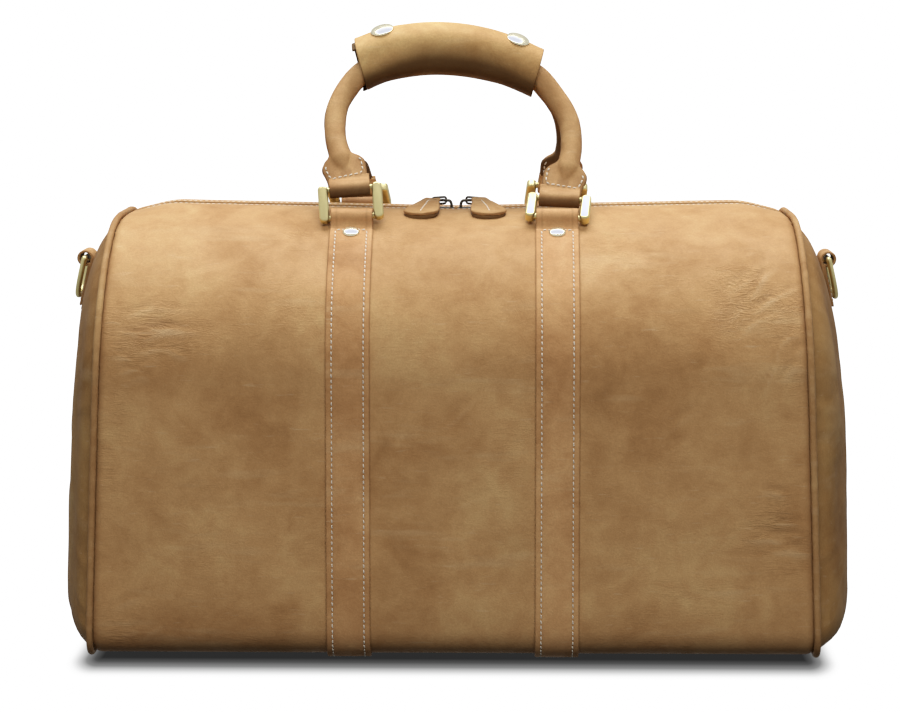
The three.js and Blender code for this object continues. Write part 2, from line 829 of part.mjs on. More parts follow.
// A D-shaped ring that hangs down from its bar along -Z.
function endRing() {
  const outline = (inset) => {
    const half = endRingWidth / 2 - inset;
    const top = endRingBar / 2 - inset;
    const straight = 6;
    const bottom = endRingBar / 2 - endRingLength + inset;
    const sideEnd = 0.75 * bottom; // the curve's handles
    const baseEnd = 0.62 * half;
    const path = new THREE.Shape();
    path.moveTo(-half, top);
    path.lineTo(-half, -straight);
    path.bezierCurveTo(-half, sideEnd, -baseEnd, bottom, 0, bottom);
    path.bezierCurveTo(baseEnd, bottom, half, sideEnd, half, -straight);
    path.lineTo(half, top);
    path.closePath();
    return path;
  };
  const face = outline(0);
  face.holes.push(outline(endRingBar));
  const geometry = new THREE.ExtrudeGeometry(face, {
    depth: endRingDepth,
    bevelEnabled: false,
    curveSegments: 7,
  });
  geometry.translate(0, 0, -endRingDepth / 2);
  return closed(geometry.rotateX(Math.PI / 2).rotateZ(Math.PI / 2));
}

// ---- inside ------------------------------------------------------------------------------
const liningInset = 4.4;
const liningThickness = 0.8;
const liningHalfLength = 208;
const liningSlot = 12; // half the width of the opening under the zipper
const boardLength = 410;
const boardWidth = 168;
const boardThickness = 1.4;

// The section, inset and run along X, as one solid block.
function insetBlock(inset, halfLength) {
  const front = arcs.map(({ y, z, ny, nz }) => [y - ny * inset, z - nz * inset]);
  const back = front.map(([y, z]) => [-y, z]).reverse();
  const outline = new THREE.Shape([...front, ...back].map(([y, z]) => new THREE.Vector2(y, z)));
  const geometry = new THREE.ExtrudeGeometry(outline, { depth: 2 * halfLength, bevelEnabled: false });
  geometry.translate(0, 0, -halfLength);
  return geometry.rotateX(Math.PI / 2).rotateZ(Math.PI / 2);
}

function lining() {
  const outside = insetBlock(liningInset, liningHalfLength);
  const inside = insetBlock(liningInset + liningThickness, liningHalfLength - liningThickness);
  const slotHeight = 20;
  const slotZ = crownZ - liningInset;
  const slot = box(2 * chainHalfLength, 2 * liningSlot, slotHeight, 0, 0, slotZ);
  return cut(outside, inside, slot);
}

function baseBoard() {
  const z = baseZ + leather + gap + boardThickness / 2;
  return box(boardLength, boardWidth, boardThickness, 0, 0, z);
}

// An open-topped pouch that lies against the lining's back wall.
function slipPocket() {
  const width = 190;
  const height = 120;
  const depth = 5;
  const wall = 0.8;
  const bottom = 45;
  const y = halfDepth - liningInset - liningThickness - gap - depth / 2;
  const z = bottom + height / 2;
  const outside = box(width, depth, height, 0, y, z);
  const inside = box(width - 2 * wall, depth - 2 * wall, height, 0, y, z + wall);
  return cut(outside, inside);
}

// ---- assembly ----------------------------------------------------------------------------
const duffelBag = new THREE.Group();

function add(name, geometry, surface, parent = duffelBag) {
  const mesh = new THREE.Mesh(geometry, surface);
  mesh.name = name;
  parent.add(mesh);
  return mesh;
}

function addBody() {
  const front = frontPanel();
  const end = endPanelRight();
  const piping = pipingRight();
  add("front_panel", front, tanLeather);
  add("back_panel", mirrorY(front), tanLeather);
  add("end_panel_right", end, tanLeather);
  add("end_panel_left", mirrorX(end), tanLeather);
  add("piping_right", piping, tanLeather);
  add("piping_left", mirrorX(piping), tanLeather);
  add("lining", lining(), cottonLining);
  add("base_board", baseBoard(), fibreboard);
  add("slip_pocket", slipPocket(), cottonLining);
}

function addStraps() {
  for (const side of ["left", "right"]) {
    const x = ringSideSign[side] * strapX;
    add(`strap_${side}`, strap(), strapLeather).position.x = x;
    for (const face of ["front", "back"]) {
      const seat = onShoulder(rivetAngle, 0);
      const holder = new THREE.Group();
      holder.position.set(x, face === "front" ? seat.y : -seat.y, seat.z);
      holder.rotation.x = (face === "front" ? 1 : -1) * (Math.PI / 2 - rivetAngle);
      duffelBag.add(holder);
      add(`rivet_${face}_${side}`, rivet(), brass, holder);
    }
  }
}

// Both handles are built facing the front, and the back one is mirrored.
function addHandle(face) {
  const group = new THREE.Group();
  if (face === "back") group.scale.y = -1;
  duffelBag.add(group);
  for (const side of ["left", "right"]) {
    const ring = add(`ring_${face}_${side}`, castRing(), brass, group);
    ring.applyMatrix4(ringMatrix(face, side));
  }
  add(`handle_${face}`, handle(face), strapLeather, group);
  add(`handle_core_${face}`, handleCore(face), cord, group);
}

function addGrip() {
  add("grip_wrap", gripWrap(), tanLeather);
  add("grip_flap", gripFlap(), tanLeather);
  for (const side of ["left", "right"]) {
    add(`snap_cap_${side}`, snapCap(side), brass);
    add(`snap_socket_${side}`, snapSocket(side), brass);
  }
}

function addZipper() {
  add("zipper_tape_front", frontTape(), tapeFabric);
  add("zipper_tape_back", mirrorY(frontTape()), tapeFabric);
  add("zipper_teeth_front", frontTeeth(), darkMetal);
  add("zipper_teeth_back", mirrorY(frontTeeth()), darkMetal);
  for (const side of ["left", "right"]) {
    const sign = ringSideSign[side];
    const x = sliderAt[side];
    const lift = rise(x);
    const body = add(`slider_${side}`, slider(), darkMetal);
    body.position.set(x, 0, tapeZ + lift);
    body.rotation.y = -sign * Math.atan2(topRise, topRiseAt);
    const link = new THREE.Group();
    link.position.set(x, 0, pullAxisZ + lift);
    link.rotation.z = sign * pullYaw;
    duffelBag.add(link);
    add(`pull_link_${side}`, pullLink(), darkMetal, link);
    addPullTab(side, sign, link);
  }
}

function addPullTab(side, sign, link) {
  const play = 0.2;
  const eye = pullLinkLength - pullLinkBack - pullLinkWire / 2 - play;
  const tab = add(`pull_tab_${side}`, pullTab(), strapLeather, link);
  tab.position.set(0, -eye, 0);
  tab.rotation.order = "ZXY";
  tab.rotation.set(pullTabDroop, 0, -sign * pullTabYaw);
}

function addEnds() {
  for (const side of ["left", "right"]) {
    const holder = new THREE.Group();
    holder.scale.x = ringSideSign[side];
    duffelBag.add(holder);
    add(`end_tab_${side}`, endTab(), strapLeather, holder).position.copy(endBar);
    const ring = add(`end_ring_${side}`, endRing(), brass, holder);
    ring.position.copy(endBar);
    ring.rotation.y = -endRingLean;
  }
}

addBody();
addStraps();
addHandle("front");
addHandle("back");
addGrip();
addZipper();
addEnds();

export default duffelBag;
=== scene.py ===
"""Looks of a leather weekend bag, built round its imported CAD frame.

Lengths are in millimetres in the frame's axes until a mesh is made, which is in metres.
"""

import math

import bmesh
import bpy
import numpy as np
from mathutils import Matrix, Vector


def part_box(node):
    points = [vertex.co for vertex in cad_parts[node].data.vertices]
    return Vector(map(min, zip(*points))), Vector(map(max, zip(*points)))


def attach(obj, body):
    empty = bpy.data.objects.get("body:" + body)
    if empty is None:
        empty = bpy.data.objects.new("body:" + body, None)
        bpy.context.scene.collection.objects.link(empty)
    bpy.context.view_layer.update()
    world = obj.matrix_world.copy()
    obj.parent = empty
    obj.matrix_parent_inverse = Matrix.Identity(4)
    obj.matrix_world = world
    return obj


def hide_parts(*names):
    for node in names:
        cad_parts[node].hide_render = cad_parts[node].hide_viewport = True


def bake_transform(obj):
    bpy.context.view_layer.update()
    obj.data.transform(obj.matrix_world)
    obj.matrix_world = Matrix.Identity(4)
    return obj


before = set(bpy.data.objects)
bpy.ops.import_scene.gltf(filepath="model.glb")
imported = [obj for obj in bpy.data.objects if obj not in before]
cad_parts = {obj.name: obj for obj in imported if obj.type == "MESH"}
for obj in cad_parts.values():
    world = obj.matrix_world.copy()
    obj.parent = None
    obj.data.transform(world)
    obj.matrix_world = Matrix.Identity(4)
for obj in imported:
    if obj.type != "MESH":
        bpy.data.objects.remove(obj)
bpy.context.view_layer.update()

MM = 0.001
PI = math.pi


def box_mm(node):
    """The low and high corners of a frame node's box."""
    low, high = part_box(node)
    return np.array(low) / MM, np.array(high) / MM


# ---- sizes of the frame ----
panel_low, panel_high = box_mm("front_panel")
strap_low, strap_high = box_mm("strap_right")
HALF_DEPTH = -panel_low[1]
BASE = panel_low[2]
TOP_RISE = 4.0  # how far the top climbs from the middle out
CROWN = panel_high[2] - TOP_RISE
STRAP_X = (strap_low[0] + strap_high[0]) / 2
STRAP_HALF = (strap_high[0] - strap_low[0]) / 2
SHOULDER = 100.0  # radius of the shoulders
CORNER = 18.0  # radius of the lower corners once the leather has settled
ZIP_HALF = 8.0  # from the middle to each panel's top edge
RISE_AT = 190.0  # where the top stops climbing
END_FALL = 9.0  # how far the top drops towards the ends
SEAM_TOP, SEAM_BASE = 219.5, 231.3  # the end seams' distance from the middle
BULGE = {-1: 24.5, 1: 29.5}  # one end sags in more than the other
TAB_BULGE = 30.0  # the bulge under the end tabs
CAD_TAB_SURFACE = 238.6  # where the end tabs lie against the ends
END_MIDDLE = 142.0  # the height of the hub that an end's rings of points close in on
PIPING = 2.2  # radius
LEATHER = 2.0  # thickness of the body's leather
FOLD_LEATHER = 1.6  # thickness of the loops round the bars
STRAP_TOP = 0.4 + 2.0  # a strap's outer face above the body's leather
PANEL_HALF = 223.0  # half width of the even grid that a panel is stretched from
CURL_WIDTH, CURL_DEPTH = 6.5, 4.3  # how a panel's edge turns in to its seam
ZIP_STITCH, STRAP_STITCH, END_STITCH = 4.5, 10.0, 8.7  # the rows' places on panels, straps and end tabs
LOOP_ANGLE = math.radians(67.7)  # up the shoulder from level, of a lower bar
RIVET_ANGLE = math.radians(60.4)
LOOP_HEIGHT = 6.0  # a lower bar's height above the shoulder
LOOP_MID = 4.5  # radius of the middle of the leather round a ring's bar
BAR_SPACING = 19.5  # between a ring's two bars
RING_TILT = math.radians(5)  # each ring's, seen from the front
RING_LEAN = {  # each ring's, out from upright
    ("front", -1): math.radians(25),
    ("front", 1): math.radians(57),
    ("back", -1): math.radians(55),
    ("back", 1): math.radians(47),
}
# The arch of the handles: its height, then half widths at shares of that height.
ARCH_HEIGHT = {"front": 90.0, "back": 91.0}
ARCH = [(70.5, 0.11), (73.5, 0.2), (77, 0.36), (75.5, 0.56), (66.5, 0.735), (55, 0.865), (30, 0.965), (0, 1)]
ROLL = 7.0  # radius of a rolled handle
ROLL_OFFSET = 8.3  # of a roll's middle from the bag's
TAB_THICK = 2.05  # half the thickness of a handle's flat tab
SIDES = {-1: "left", 1: "right"}

# Lengths along the section, from the zipper's edge over the shoulder to the middle of the base.
FLAT = HALF_DEPTH - SHOULDER - ZIP_HALF
S_SIDE = FLAT + SHOULDER * PI / 2
S_CORNER = S_SIDE + (CROWN - SHOULDER) - (BASE + CORNER)
S_BASE = S_CORNER + CORNER * PI / 2
S_END = S_BASE + HALF_DEPTH - CORNER
S_LOOP = FLAT + SHOULDER * (PI / 2 - LOOP_ANGLE)
S_RIVET = FLAT + SHOULDER * (PI / 2 - RIVET_ANGLE)


# ---- small maths ----
def smooth(low, high, value):
    """0 before low and 1 past high with a soft step between; low may be the greater."""
    t = np.clip((np.asarray(value, float) - low) / (high - low), 0, 1)
    return t * t * (3 - 2 * t)


def unit(v):
    v = np.asarray(v, float)
    return v / np.maximum(np.linalg.norm(v, axis=-1, keepdims=True), 1e-12)


def vec(x, y, z):
    """Points from three coordinates that broadcast together."""
    x, y, z = np.broadcast_arrays(x, y, z)
    return np.stack([x, y, z], -1).astype(float)


def lattice(ix, iy, iz, seed):
    """A pseudo-random number from -1 to 1 at each whole-number point."""
    mask = np.uint64(0xFFFFFFFF)
    h = ix * np.uint64(374761393) + iy * np.uint64(668265263) + iz * np.uint64(2147483647)
    h = (h + np.uint64(seed) * np.uint64(144665)) & mask
    h = ((h ^ (h >> np.uint64(13))) * np.uint64(1274126177)) & mask
    h = ((h ^ (h >> np.uint64(16))) * np.uint64(2246822519)) & mask
    h = h ^ (h >> np.uint64(15))
    return h.astype(float) / float(0xFFFFFFFF) * 2 - 1


def noise(p, seed=0):
    """Smooth noise from -1 to 1 at points p, with features one unit across."""
    p = np.asarray(p, float) + 1000.0
    cell = np.floor(p)
    f = p - cell
    f = f * f * f * (f * (f * 6 - 15) + 10)
    i = cell.astype(np.uint64)
    total = 0.0
    for dx in (0, 1):
        for dy in (0, 1):
            for dz in (0, 1):
                w = (f[..., 0] if dx else 1 - f[..., 0]) * (f[..., 1] if dy else 1 - f[..., 1])
                w = w * (f[..., 2] if dz else 1 - f[..., 2])
                corner = i + np.array([dx, dy, dz], np.uint64)
                total = total + w * lattice(corner[..., 0], corner[..., 1], corner[..., 2], seed)
    return total


def spread(low, high, step, dense=()):
    """Numbers from low to high, with closer ones at both ends and round each dense place."""
    rim = np.array([0, 0.12, 0.35, 0.7, 1.2])
    body = np.linspace(low + 1.2, high - 1.2, max(2, int((high - low - 2.4) / step) + 1))
    parts = [low + rim, high - rim, body]
    parts += [place + np.array([-1.2, -0.8, -0.4, 0, 0.4, 0.8, 1.2]) for place in dense]
    values = np.unique(np.round(np.concatenate(parts), 3))
    values = values[(values >= low) & (values <= high)]
    keep = [values[0]]
    for value in values[1:]:
        if value - keep[-1] > 0.1:
            keep.append(value)
    keep[-1] = values[-1]
    return np.array(keep)


def rim(distance, thickness):
    """Half the thickness of a sheet at a distance from its rounded edge."""
    half = thickness / 2
    q = np.clip(np.asarray(distance, float) / half, 0, 1)
    return half * np.sqrt(1 - (1 - q) ** 2)


def catmull(points, count):
    """A centripetal Catmull-Rom curve through points, resampled to even steps."""
    p = np.asarray(points, float)
    p = np.vstack([2 * p[0] - p[1], p, 2 * p[-1] - p[-2]])
    out = []
    for k in range(1, len(p) - 2):
        a, b, c, d = p[k - 1 : k + 3]
        t0 = 0.0
        t1 = t0 + np.linalg.norm(b - a) ** 0.5
        t2 = t1 + np.linalg.norm(c - b) ** 0.5
        t3 = t2 + np.linalg.norm(d - c) ** 0.5
        t = np.linspace(t1, t2, 40, endpoint=False)[:, None]
        ab = (t1 - t) / (t1 - t0) * a + (t - t0) / (t1 - t0) * b
        bc = (t2 - t) / (t2 - t1) * b + (t - t1) / (t2 - t1) * c
        cd = (t3 - t) / (t3 - t2) * c + (t - t2) / (t3 - t2) * d
        abc = (t2 - t) / (t2 - t0) * ab + (t - t0) / (t2 - t0) * bc
        bcd = (t3 - t) / (t3 - t1) * bc + (t - t1) / (t3 - t1) * cd
        out.append((t2 - t) / (t2 - t1) * abc + (t - t1) / (t2 - t1) * bcd)
    out.append(p[-2][None])
    return resample(np.vstack(out), count)


def arc(radius, degrees, lift=0.0):
    """Points of an arc about (0, lift), at the given degrees."""
    angles = [math.radians(d) for d in degrees]
    return [(radius * math.cos(a), lift + radius * math.sin(a)) for a in angles]


def run_length(points):
    """The distance gone along a line at each of its points."""
    return np.concatenate([[0], np.cumsum(np.linalg.norm(np.diff(points, axis=0), axis=1))])


def line_at(at, run, points):
    """Where a line is after the distances in at, from its points and their runs."""
    return np.stack([np.interp(at, run, column) for column in points.T], -1)


def resample(points, count):
    run = run_length(points)
    return line_at(np.linspace(0, run[-1], count), run, points)


# ---- the body's surface ----
def crown_rise(x):
    """How far the top edge stands above the crown: up from the middle out, then down at the seams."""
    x = np.abs(x)
    fall = smooth(RISE_AT - 8, SEAM_TOP + 14, x)
    return TOP_RISE * np.minimum(x / RISE_AT, 1) - END_FALL * fall


def crown_share(y, z):
    """How much of the crown's rise or fall reaches a point of the section."""
    return (1 - smooth(25, 75, np.abs(y))) * smooth(170, 250, z)


def seam_x(z):
    """An end seam's distance from the middle at a height."""
    return SEAM_TOP + (SEAM_BASE - SEAM_TOP) * np.clip(1 - np.asarray(z, float) / CROWN, 0, 1) ** 0.8


def section(s):
    """Position and outward normal of the front half of the section."""
    s = np.asarray(s, float)
    a = np.clip((s - FLAT) / SHOULDER, 0, PI / 2)
    b = np.clip((s - S_CORNER) / CORNER, 0, PI / 2)
    down = np.clip(s - S_SIDE, 0, S_CORNER - S_SIDE)
    y = -ZIP_HALF - np.minimum(s, FLAT) - SHOULDER * np.sin(a)
    y = y + CORNER * (1 - np.cos(b)) + np.maximum(s - S_BASE, 0)
    z = CROWN - SHOULDER * (1 - np.cos(a)) - down - CORNER * np.sin(b)
    return y, z, -np.sin(a + b), np.cos(a + b)


def half_depth_at(z):
    """Half the section's depth at a height."""
    over = np.maximum(z - (CROWN - SHOULDER), 0)
    under = np.maximum(BASE + CORNER - z, 0)
    top = HALF_DEPTH - SHOULDER + np.sqrt(np.maximum(0, SHOULDER**2 - over**2))
    low = HALF_DEPTH - CORNER + np.sqrt(np.maximum(0, CORNER**2 - under**2))
    return np.minimum(top, low)


def end_depth(y, z, which):
    """How far an end bulges out past its seam."""
    half = (CROWN - BASE) / 2
    up = (z - BASE - half) / half
    level = np.clip(np.abs(up), 0, 1) ** np.where(up > 0, 2.0, 14)
    side = np.clip(np.abs(y) / half_depth_at(z), 0, 1) ** 3
    share = ((1 - level) * (1 - side)) ** 0.6
    near_tab = 1 - smooth(25, 85, np.hypot(y, z - 240))
    return share * (BULGE[which] * (1 - near_tab) + TAB_BULGE * near_tab)


def make_creases(back):
    """Creases as rows of x, s, direction, length, width, depth and bend."""
    draw = np.random.default_rng(31 if back else 12)
    # Each group's x, s, direction, count, scatter in x and s, length and depth.
    groups = [
        (-186, 140, -0.12, 11, 26, 16, 34, 0.55),
        (-196, 165, 0.25, 6, 18, 14, 26, 0.4),
        (188, 118, -0.62, 12, 26, 22, 52, 0.6),
        (205, 150, -0.9, 7, 12, 18, 30, 0.45),
        (203, 268, 0.15, 13, 16, 22, 34, 0.5),
        (-204, 330, -0.3, 7, 14, 20, 28, 0.4),
        (8, 205, -0.3, 5, 34, 40, 46, 0.22),
        (150, 215, -0.5, 6, 30, 34, 50, 0.25),
        (-150, 255, 0.2, 5, 34, 40, 44, 0.22),
        (120, 90, -0.35, 6, 26, 16, 34, 0.3),
    ]
    shallow, wide = (0.36, 1.5) if back else (0.62, 1.0)
    rows = []
    for x, s, turn, count, dx, ds, length, depth in groups:
        if back:
            x, turn = -x * 0.93, -turn
        for _ in range(count):
            rows.append(
                (
                    x + draw.normal(0, dx * 0.5),
                    s + draw.normal(0, ds * 0.6),
                    turn + draw.normal(0, 0.22),
                    length * draw.uniform(0.5, 1.3),
                    draw.uniform(0.9, 1.7) * wide,
                    shallow * depth * draw.uniform(0.5, 1.15),
                    draw.normal(0, 0.18),
                )
            )
    return rows


CREASES = {False: make_creases(False), True: make_creases(True)}
# Patches of fine crinkles as rows of x, s, half width, half height and strength.
CRINKLES = [(-186, 142, 30, 16, 1.0), (-216, 190, 12, 50, 0.6), (207, 268, 20, 24, 0.9), (-20, 150, 60, 30, 0.12)]
CRINKLES += [(-120, 300, 70, 50, 0.12), (130, 310, 60, 40, 0.15), (-210, 340, 14, 20, 0.6)]
SLANTED = [(184, 118, 32, 26, 0.9), (214, 170, 11, 40, 0.5), (60, 220, 80, 50, 0.15), (-100, 120, 50, 30, 0.15)]
SLANTED += [(100, 70, 24, 24, 0.6), (-96, 60, 18, 16, 0.7), (-36, 62, 18, 16, 0.5)]


def crinkle_field(patches, x, s, back):
    """0 to 1: where fine crinkles show, in broken patches."""
    total = np.zeros(np.broadcast(x, s).shape)
    for x0, s0, dx, ds, strength in patches:
        if back:
            x0 = -x0 * 0.9
        total += strength * np.exp(-(((x - x0) / dx) ** 2) - ((s - s0) / ds) ** 2)
    broken = 0.55 + 0.6 * noise(vec(x / 17, s / 17, 30.0 if back else 20.0), 18)
    return np.clip(total * broken, 0, 1)


def crease_field(x, s, back):
    """The creases' relief: valleys with a raised lip along one side."""
    total = np.zeros(np.broadcast(x, s).shape)
    wander = noise(vec(x / 13, s / 13, 5.0 if back else 2.0), 3) * 2.2
    for x0, s0, turn, length, width, depth, bend in CREASES[back]:
        dx, ds = x - x0, s - s0
        along = dx * math.cos(turn) + ds * math.sin(turn)
        across = -dx * math.sin(turn) + ds * math.cos(turn) + wander
        across = across - bend * along**2 / length
        taper = np.clip(1 - (2 * along / length) ** 2, 0, 1)
        valley = np.exp(-((across / width) ** 2))
        lip = np.exp(-(((across - 2.3 * width) / (1.8 * width)) ** 2))
        total += depth * taper * (0.45 * lip - valley)
    return total


def puff(x, s, back):
    """How far the leather stands off the frame's surface, and how creased it is."""
    x, s = np.broadcast_arrays(np.asarray(x, float), np.asarray(s, float))
    _, z, _, _ = section(s)
    from_seam = np.maximum(seam_x(z) - np.abs(x), 0)
    from_strap = np.abs(np.abs(x) - STRAP_X)
    low = 1 - smooth(S_CORNER - 4, S_BASE, s)
    high = smooth(14, 120, s)
    inside = 1 - np.exp(-((from_seam / 24) ** 2))
    belly = np.sin(PI * np.clip((s - 60) / (S_BASE - 60), 0, 1))
    bulge = 3.2 * belly * inside
    trench = -1.1 * (1 - smooth(STRAP_HALF - 1, STRAP_HALF + 20, from_strap)) * belly
    spot = vec(x, s, 170.0 if back else 0.0)
    swell = (2.2 * noise(spot / 105, 11) + 0.8 * noise(spot / 42, 12)) * inside * high
    creases = crease_field(x, s, back)
    pucker = 0.4 * np.exp(-from_seam / 7) * noise(vec(x / 60, s / 5.5, 9.0), 14)
    fine = 0.16 * noise(spot / 15, 15) + 0.05 * noise(spot / 5, 16)
    free = smooth(STRAP_HALF - 1, STRAP_HALF + 2.5, from_strap)
    anchored = smooth(30, 62, np.hypot(from_strap, s - (S_LOOP + S_RIVET) / 2))
    detail = (creases + pucker + fine) * free
    calm = smooth(4, 26, s) * low
    return ((bulge + trench + swell) * anchored + detail * (0.3 + 0.7 * anchored)) * calm, creases * free * calm


def skin(x, s, height, back=False, displaced=True):
    """A point at a height above the body's leather."""
    y, z, ny, nz = section(s)
    lift = puff(x, s, back)[0] if displaced else 0
    share = crown_share(y, z)
    y = y + ny * (height + lift)
    z = z + nz * (height + lift) + crown_rise(x) * share
    return vec(x, -y if back else y, z)


# ---- materials ----
def new_material(name):
    material = bpy.data.materials.new(name)
    material.use_nodes = True
    tree = material.node_tree
    tree.nodes.clear()
    out = tree.nodes.new("ShaderNodeOutputMaterial")
    shader = tree.nodes.new("ShaderNodeBsdfPrincipled")
    tree.links.new(shader.outputs[0], out.inputs[0])
    return material, Nodes(tree), shader


class Nodes:
    """Short calls that add nodes to a material."""

    def __init__(self, tree):
        self.tree = tree
        self.place = self.new("TexCoord").outputs["Object"]

    def new(self, kind, **values):
        """A new shader node with some of its inputs linked or set; a name's _ stands for a space."""
        node = self.tree.nodes.new("ShaderNode" + kind)
        for key, value in values.items():
            self.put(node.inputs[key.replace("_", " ")], value)
        return node

    def put(self, socket, value):
        if isinstance(value, bpy.types.NodeSocket):
            self.tree.links.new(value, socket)
        elif value is not None:
            socket.default_value = value

    def scaled(self, scale, offset=(0, 0, 0), turn=(0, 0, 0)):
        node = self.new("Mapping", Vector=self.place, Scale=scale, Location=offset, Rotation=turn)
        return node.outputs[0]

    def noise(self, scale, detail=3, rough=0.55, vector=None, distortion=0.0):
        node = self.new("TexNoise", Vector=vector or self.place, Scale=scale, Detail=detail)
        self.put(node.inputs["Roughness"], rough)
        self.put(node.inputs["Distortion"], distortion)
        return node.outputs["Fac"]

    def cells(self, scale, vector, feature="F1"):
        node = self.new("TexVoronoi")
        node.feature = feature
        self.put(node.inputs["Vector"], vector)
        self.put(node.inputs["Scale"], scale)
        return node.outputs["Distance"]

    def wave(self, scale, axis):
        node = self.new("TexWave", Vector=self.place, Scale=scale)
        node.bands_direction = axis
        return node.outputs["Fac"]

    def math(self, operation, a, b=None):
        node = self.new("Math")
        node.operation = operation
        self.put(node.inputs[0], a)
        self.put(node.inputs[1], b)
        return node.outputs[0]

    def span(self, value, low, high, to_low=0.0, to_high=1.0):
        node = self.new("MapRange", Value=value, From_Min=low, From_Max=high, To_Min=to_low, To_Max=to_high)
        return node.outputs[0]

    def mix(self, share, a, b):
        node = self.new("Mix")
        node.data_type = "RGBA"
        for place, value in ((0, share), (6, colour(a)), (7, colour(b))):
            self.put(node.inputs[place], value)
        return node.outputs[2]

    def ramp(self, value, stops):
        node = self.new("ValToRGB", Fac=value)
        elements = node.color_ramp.elements
        while len(elements) < len(stops):
            elements.new(0.5)
        for element, (at, tint) in zip(elements, stops):
            element.position = at
            element.color = colour(tint)
        return node.outputs[0]

    def bump(self, height, distance, strength, normal=None):
        return self.new("Bump", Strength=strength, Distance=distance, Height=height, Normal=normal).outputs[0]

    def attribute(self, name):
        node = self.new("Attribute")
        node.attribute_name = name
        return node.outputs["Fac"]

    def parts(self):
        """The x, y and z of the place."""
        return self.new("SeparateXYZ", Vector=self.place).outputs


def colour(value):
    """Three numbers with an alpha of 1; anything else as it is."""
    if isinstance(value, (tuple, list)) and len(value) == 3:
        return (*value, 1.0)
    return value


def leather_material(name, tint=(1, 1, 1), cloud=9.0, offset=0.0, low_shade=0.0):
    """Oiled nubuck: cloudy pull-up tones, fine grain, scuffs and dark cut edges, with painted shade and highlight
    along the creases and painted shade in grooves, under parts and near the floor.
    """
    material, n, shader = new_material(name)
    moved = n.scaled((1, 1, 1), (offset, offset * 0.7, offset * 1.3))
    broad = n.noise(cloud, 2, 0.5, moved, 0.6)
    patch = n.noise(cloud * 3.4, 4, 0.62, moved, 0.9)
    mottle = n.noise(cloud * 11, 4, 0.6, moved)
    tone = n.math("ADD", n.math("MULTIPLY", broad, 0.46), n.math("MULTIPLY", patch, 0.33))
    tone = n.math("ADD", tone, n.math("MULTIPLY", mottle, 0.21))
    shades = [
        (0.30, (0.27, 0.135, 0.052)),
        (0.43, (0.385, 0.205, 0.085)),
        (0.55, (0.485, 0.278, 0.122)),
        (0.70, (0.60, 0.385, 0.175)),
    ]
    base = n.ramp(tone, [(at, tuple(c * k for c, k in zip(shade, tint))) for at, shade in shades])
    streaks = n.noise(30, 3, 0.6, n.scaled((0.35, 1.0, 2.2), (offset, 0, 3), (0, 0.35, 0)))
    scuffs = n.noise(240, 2, 0.7, n.scaled((0.22, 1, 1.6), (1, 2, offset), (0, -0.5, 0)))
    crease = n.attribute("crease")
    # Each mark's field, the span of it that shows, how strongly, and its colour.
    marks = [
        (streaks, (0.58, 0.74, 0, 0.28), (0.66, 0.45, 0.23)),
        (scuffs, (0.64, 0.78, 0, 0.22), (0.72, 0.52, 0.30)),
        (n.noise(900, 2, 0.5, moved), (0.35, 0.7, 0.16, 0.0), (0.13, 0.06, 0.025)),
        # The creases' valleys get painted shade and their raised lips a painted highlight.
        (crease, (0.0, -0.5, 0, 0.42), (0.17, 0.08, 0.03)),
        (crease, (0.02, 0.3, 0, 0.35), (0.66, 0.46, 0.25)),
        # Dark cut edges, plus painted shade in the seam grooves, under the straps' cut ends and at the handles' folds.
        (n.attribute("edge"), (0, 1, 0, 0.55), (0.17, 0.075, 0.028)),
        (n.attribute("shade"), (0, 1, 0, 0.89), (0.045, 0.02, 0.008)),
    ]
    # Painted shade near the floor: darker as the height falls towards zero.
    if low_shade:
        marks.append((n.parts()[2], (0.04, 0.002, 0, low_shade), (0.12, 0.05, 0.018)))
    for field, span, shade in marks:
        base = n.mix(n.span(field, *span), base, shade)
    n.put(shader.inputs["Base Color"], base)
    n.put(shader.inputs["Roughness"], n.span(patch, 0.3, 0.7, 0.72, 0.56))
    shader.inputs["Specular IOR Level"].default_value = 0.14
    pores = n.cells(1500, moved)
    pebble = n.cells(620, n.scaled((1, 1, 1), (offset, 5, 1)), "SMOOTH_F1")
    grain = n.noise(800, 3, 0.6, moved)
    relief = n.math("ADD", n.math("MULTIPLY", pores, 0.35), n.math("MULTIPLY", pebble, 0.35))
    relief = n.math("ADD", relief, n.math("MULTIPLY", grain, 0.6))
    fine = n.bump(relief, 0.00016, 0.55)
    creased = n.noise(95, 5, 0.65, n.scaled((1, 1, 1.5), (offset, 0, 0), (0, 0.4, 0)), 1.2)
    coarse = n.bump(n.math("ABSOLUTE", n.math("SUBTRACT", creased, 0.5)), 0.001, 0.42, fine)
    flat = n.noise(1, 4, 0.6, n.scaled((42, 60, 250), (offset, 0, 0)), 1.9)
    slant = n.noise(1, 4, 0.6, n.scaled((60, 60, 240), (offset, 3, 0), (0, 0.75, 0)), 1.9)
    lines = n.math("MULTIPLY", ridge(n, flat), n.attribute("crinkle"))
    lines = n.math("ADD", lines, n.math("MULTIPLY", ridge(n, slant), n.attribute("crinkle_slant")))
    n.put(shader.inputs["Normal"], n.bump(lines, 0.0011, 0.6, coarse))
    return material


def ridge(n, value):
    """Sharp valleys where a noise crosses its middle."""
    return n.span(n.math("ABSOLUTE", n.math("SUBTRACT", value, 0.5)), 0.0, 0.16)


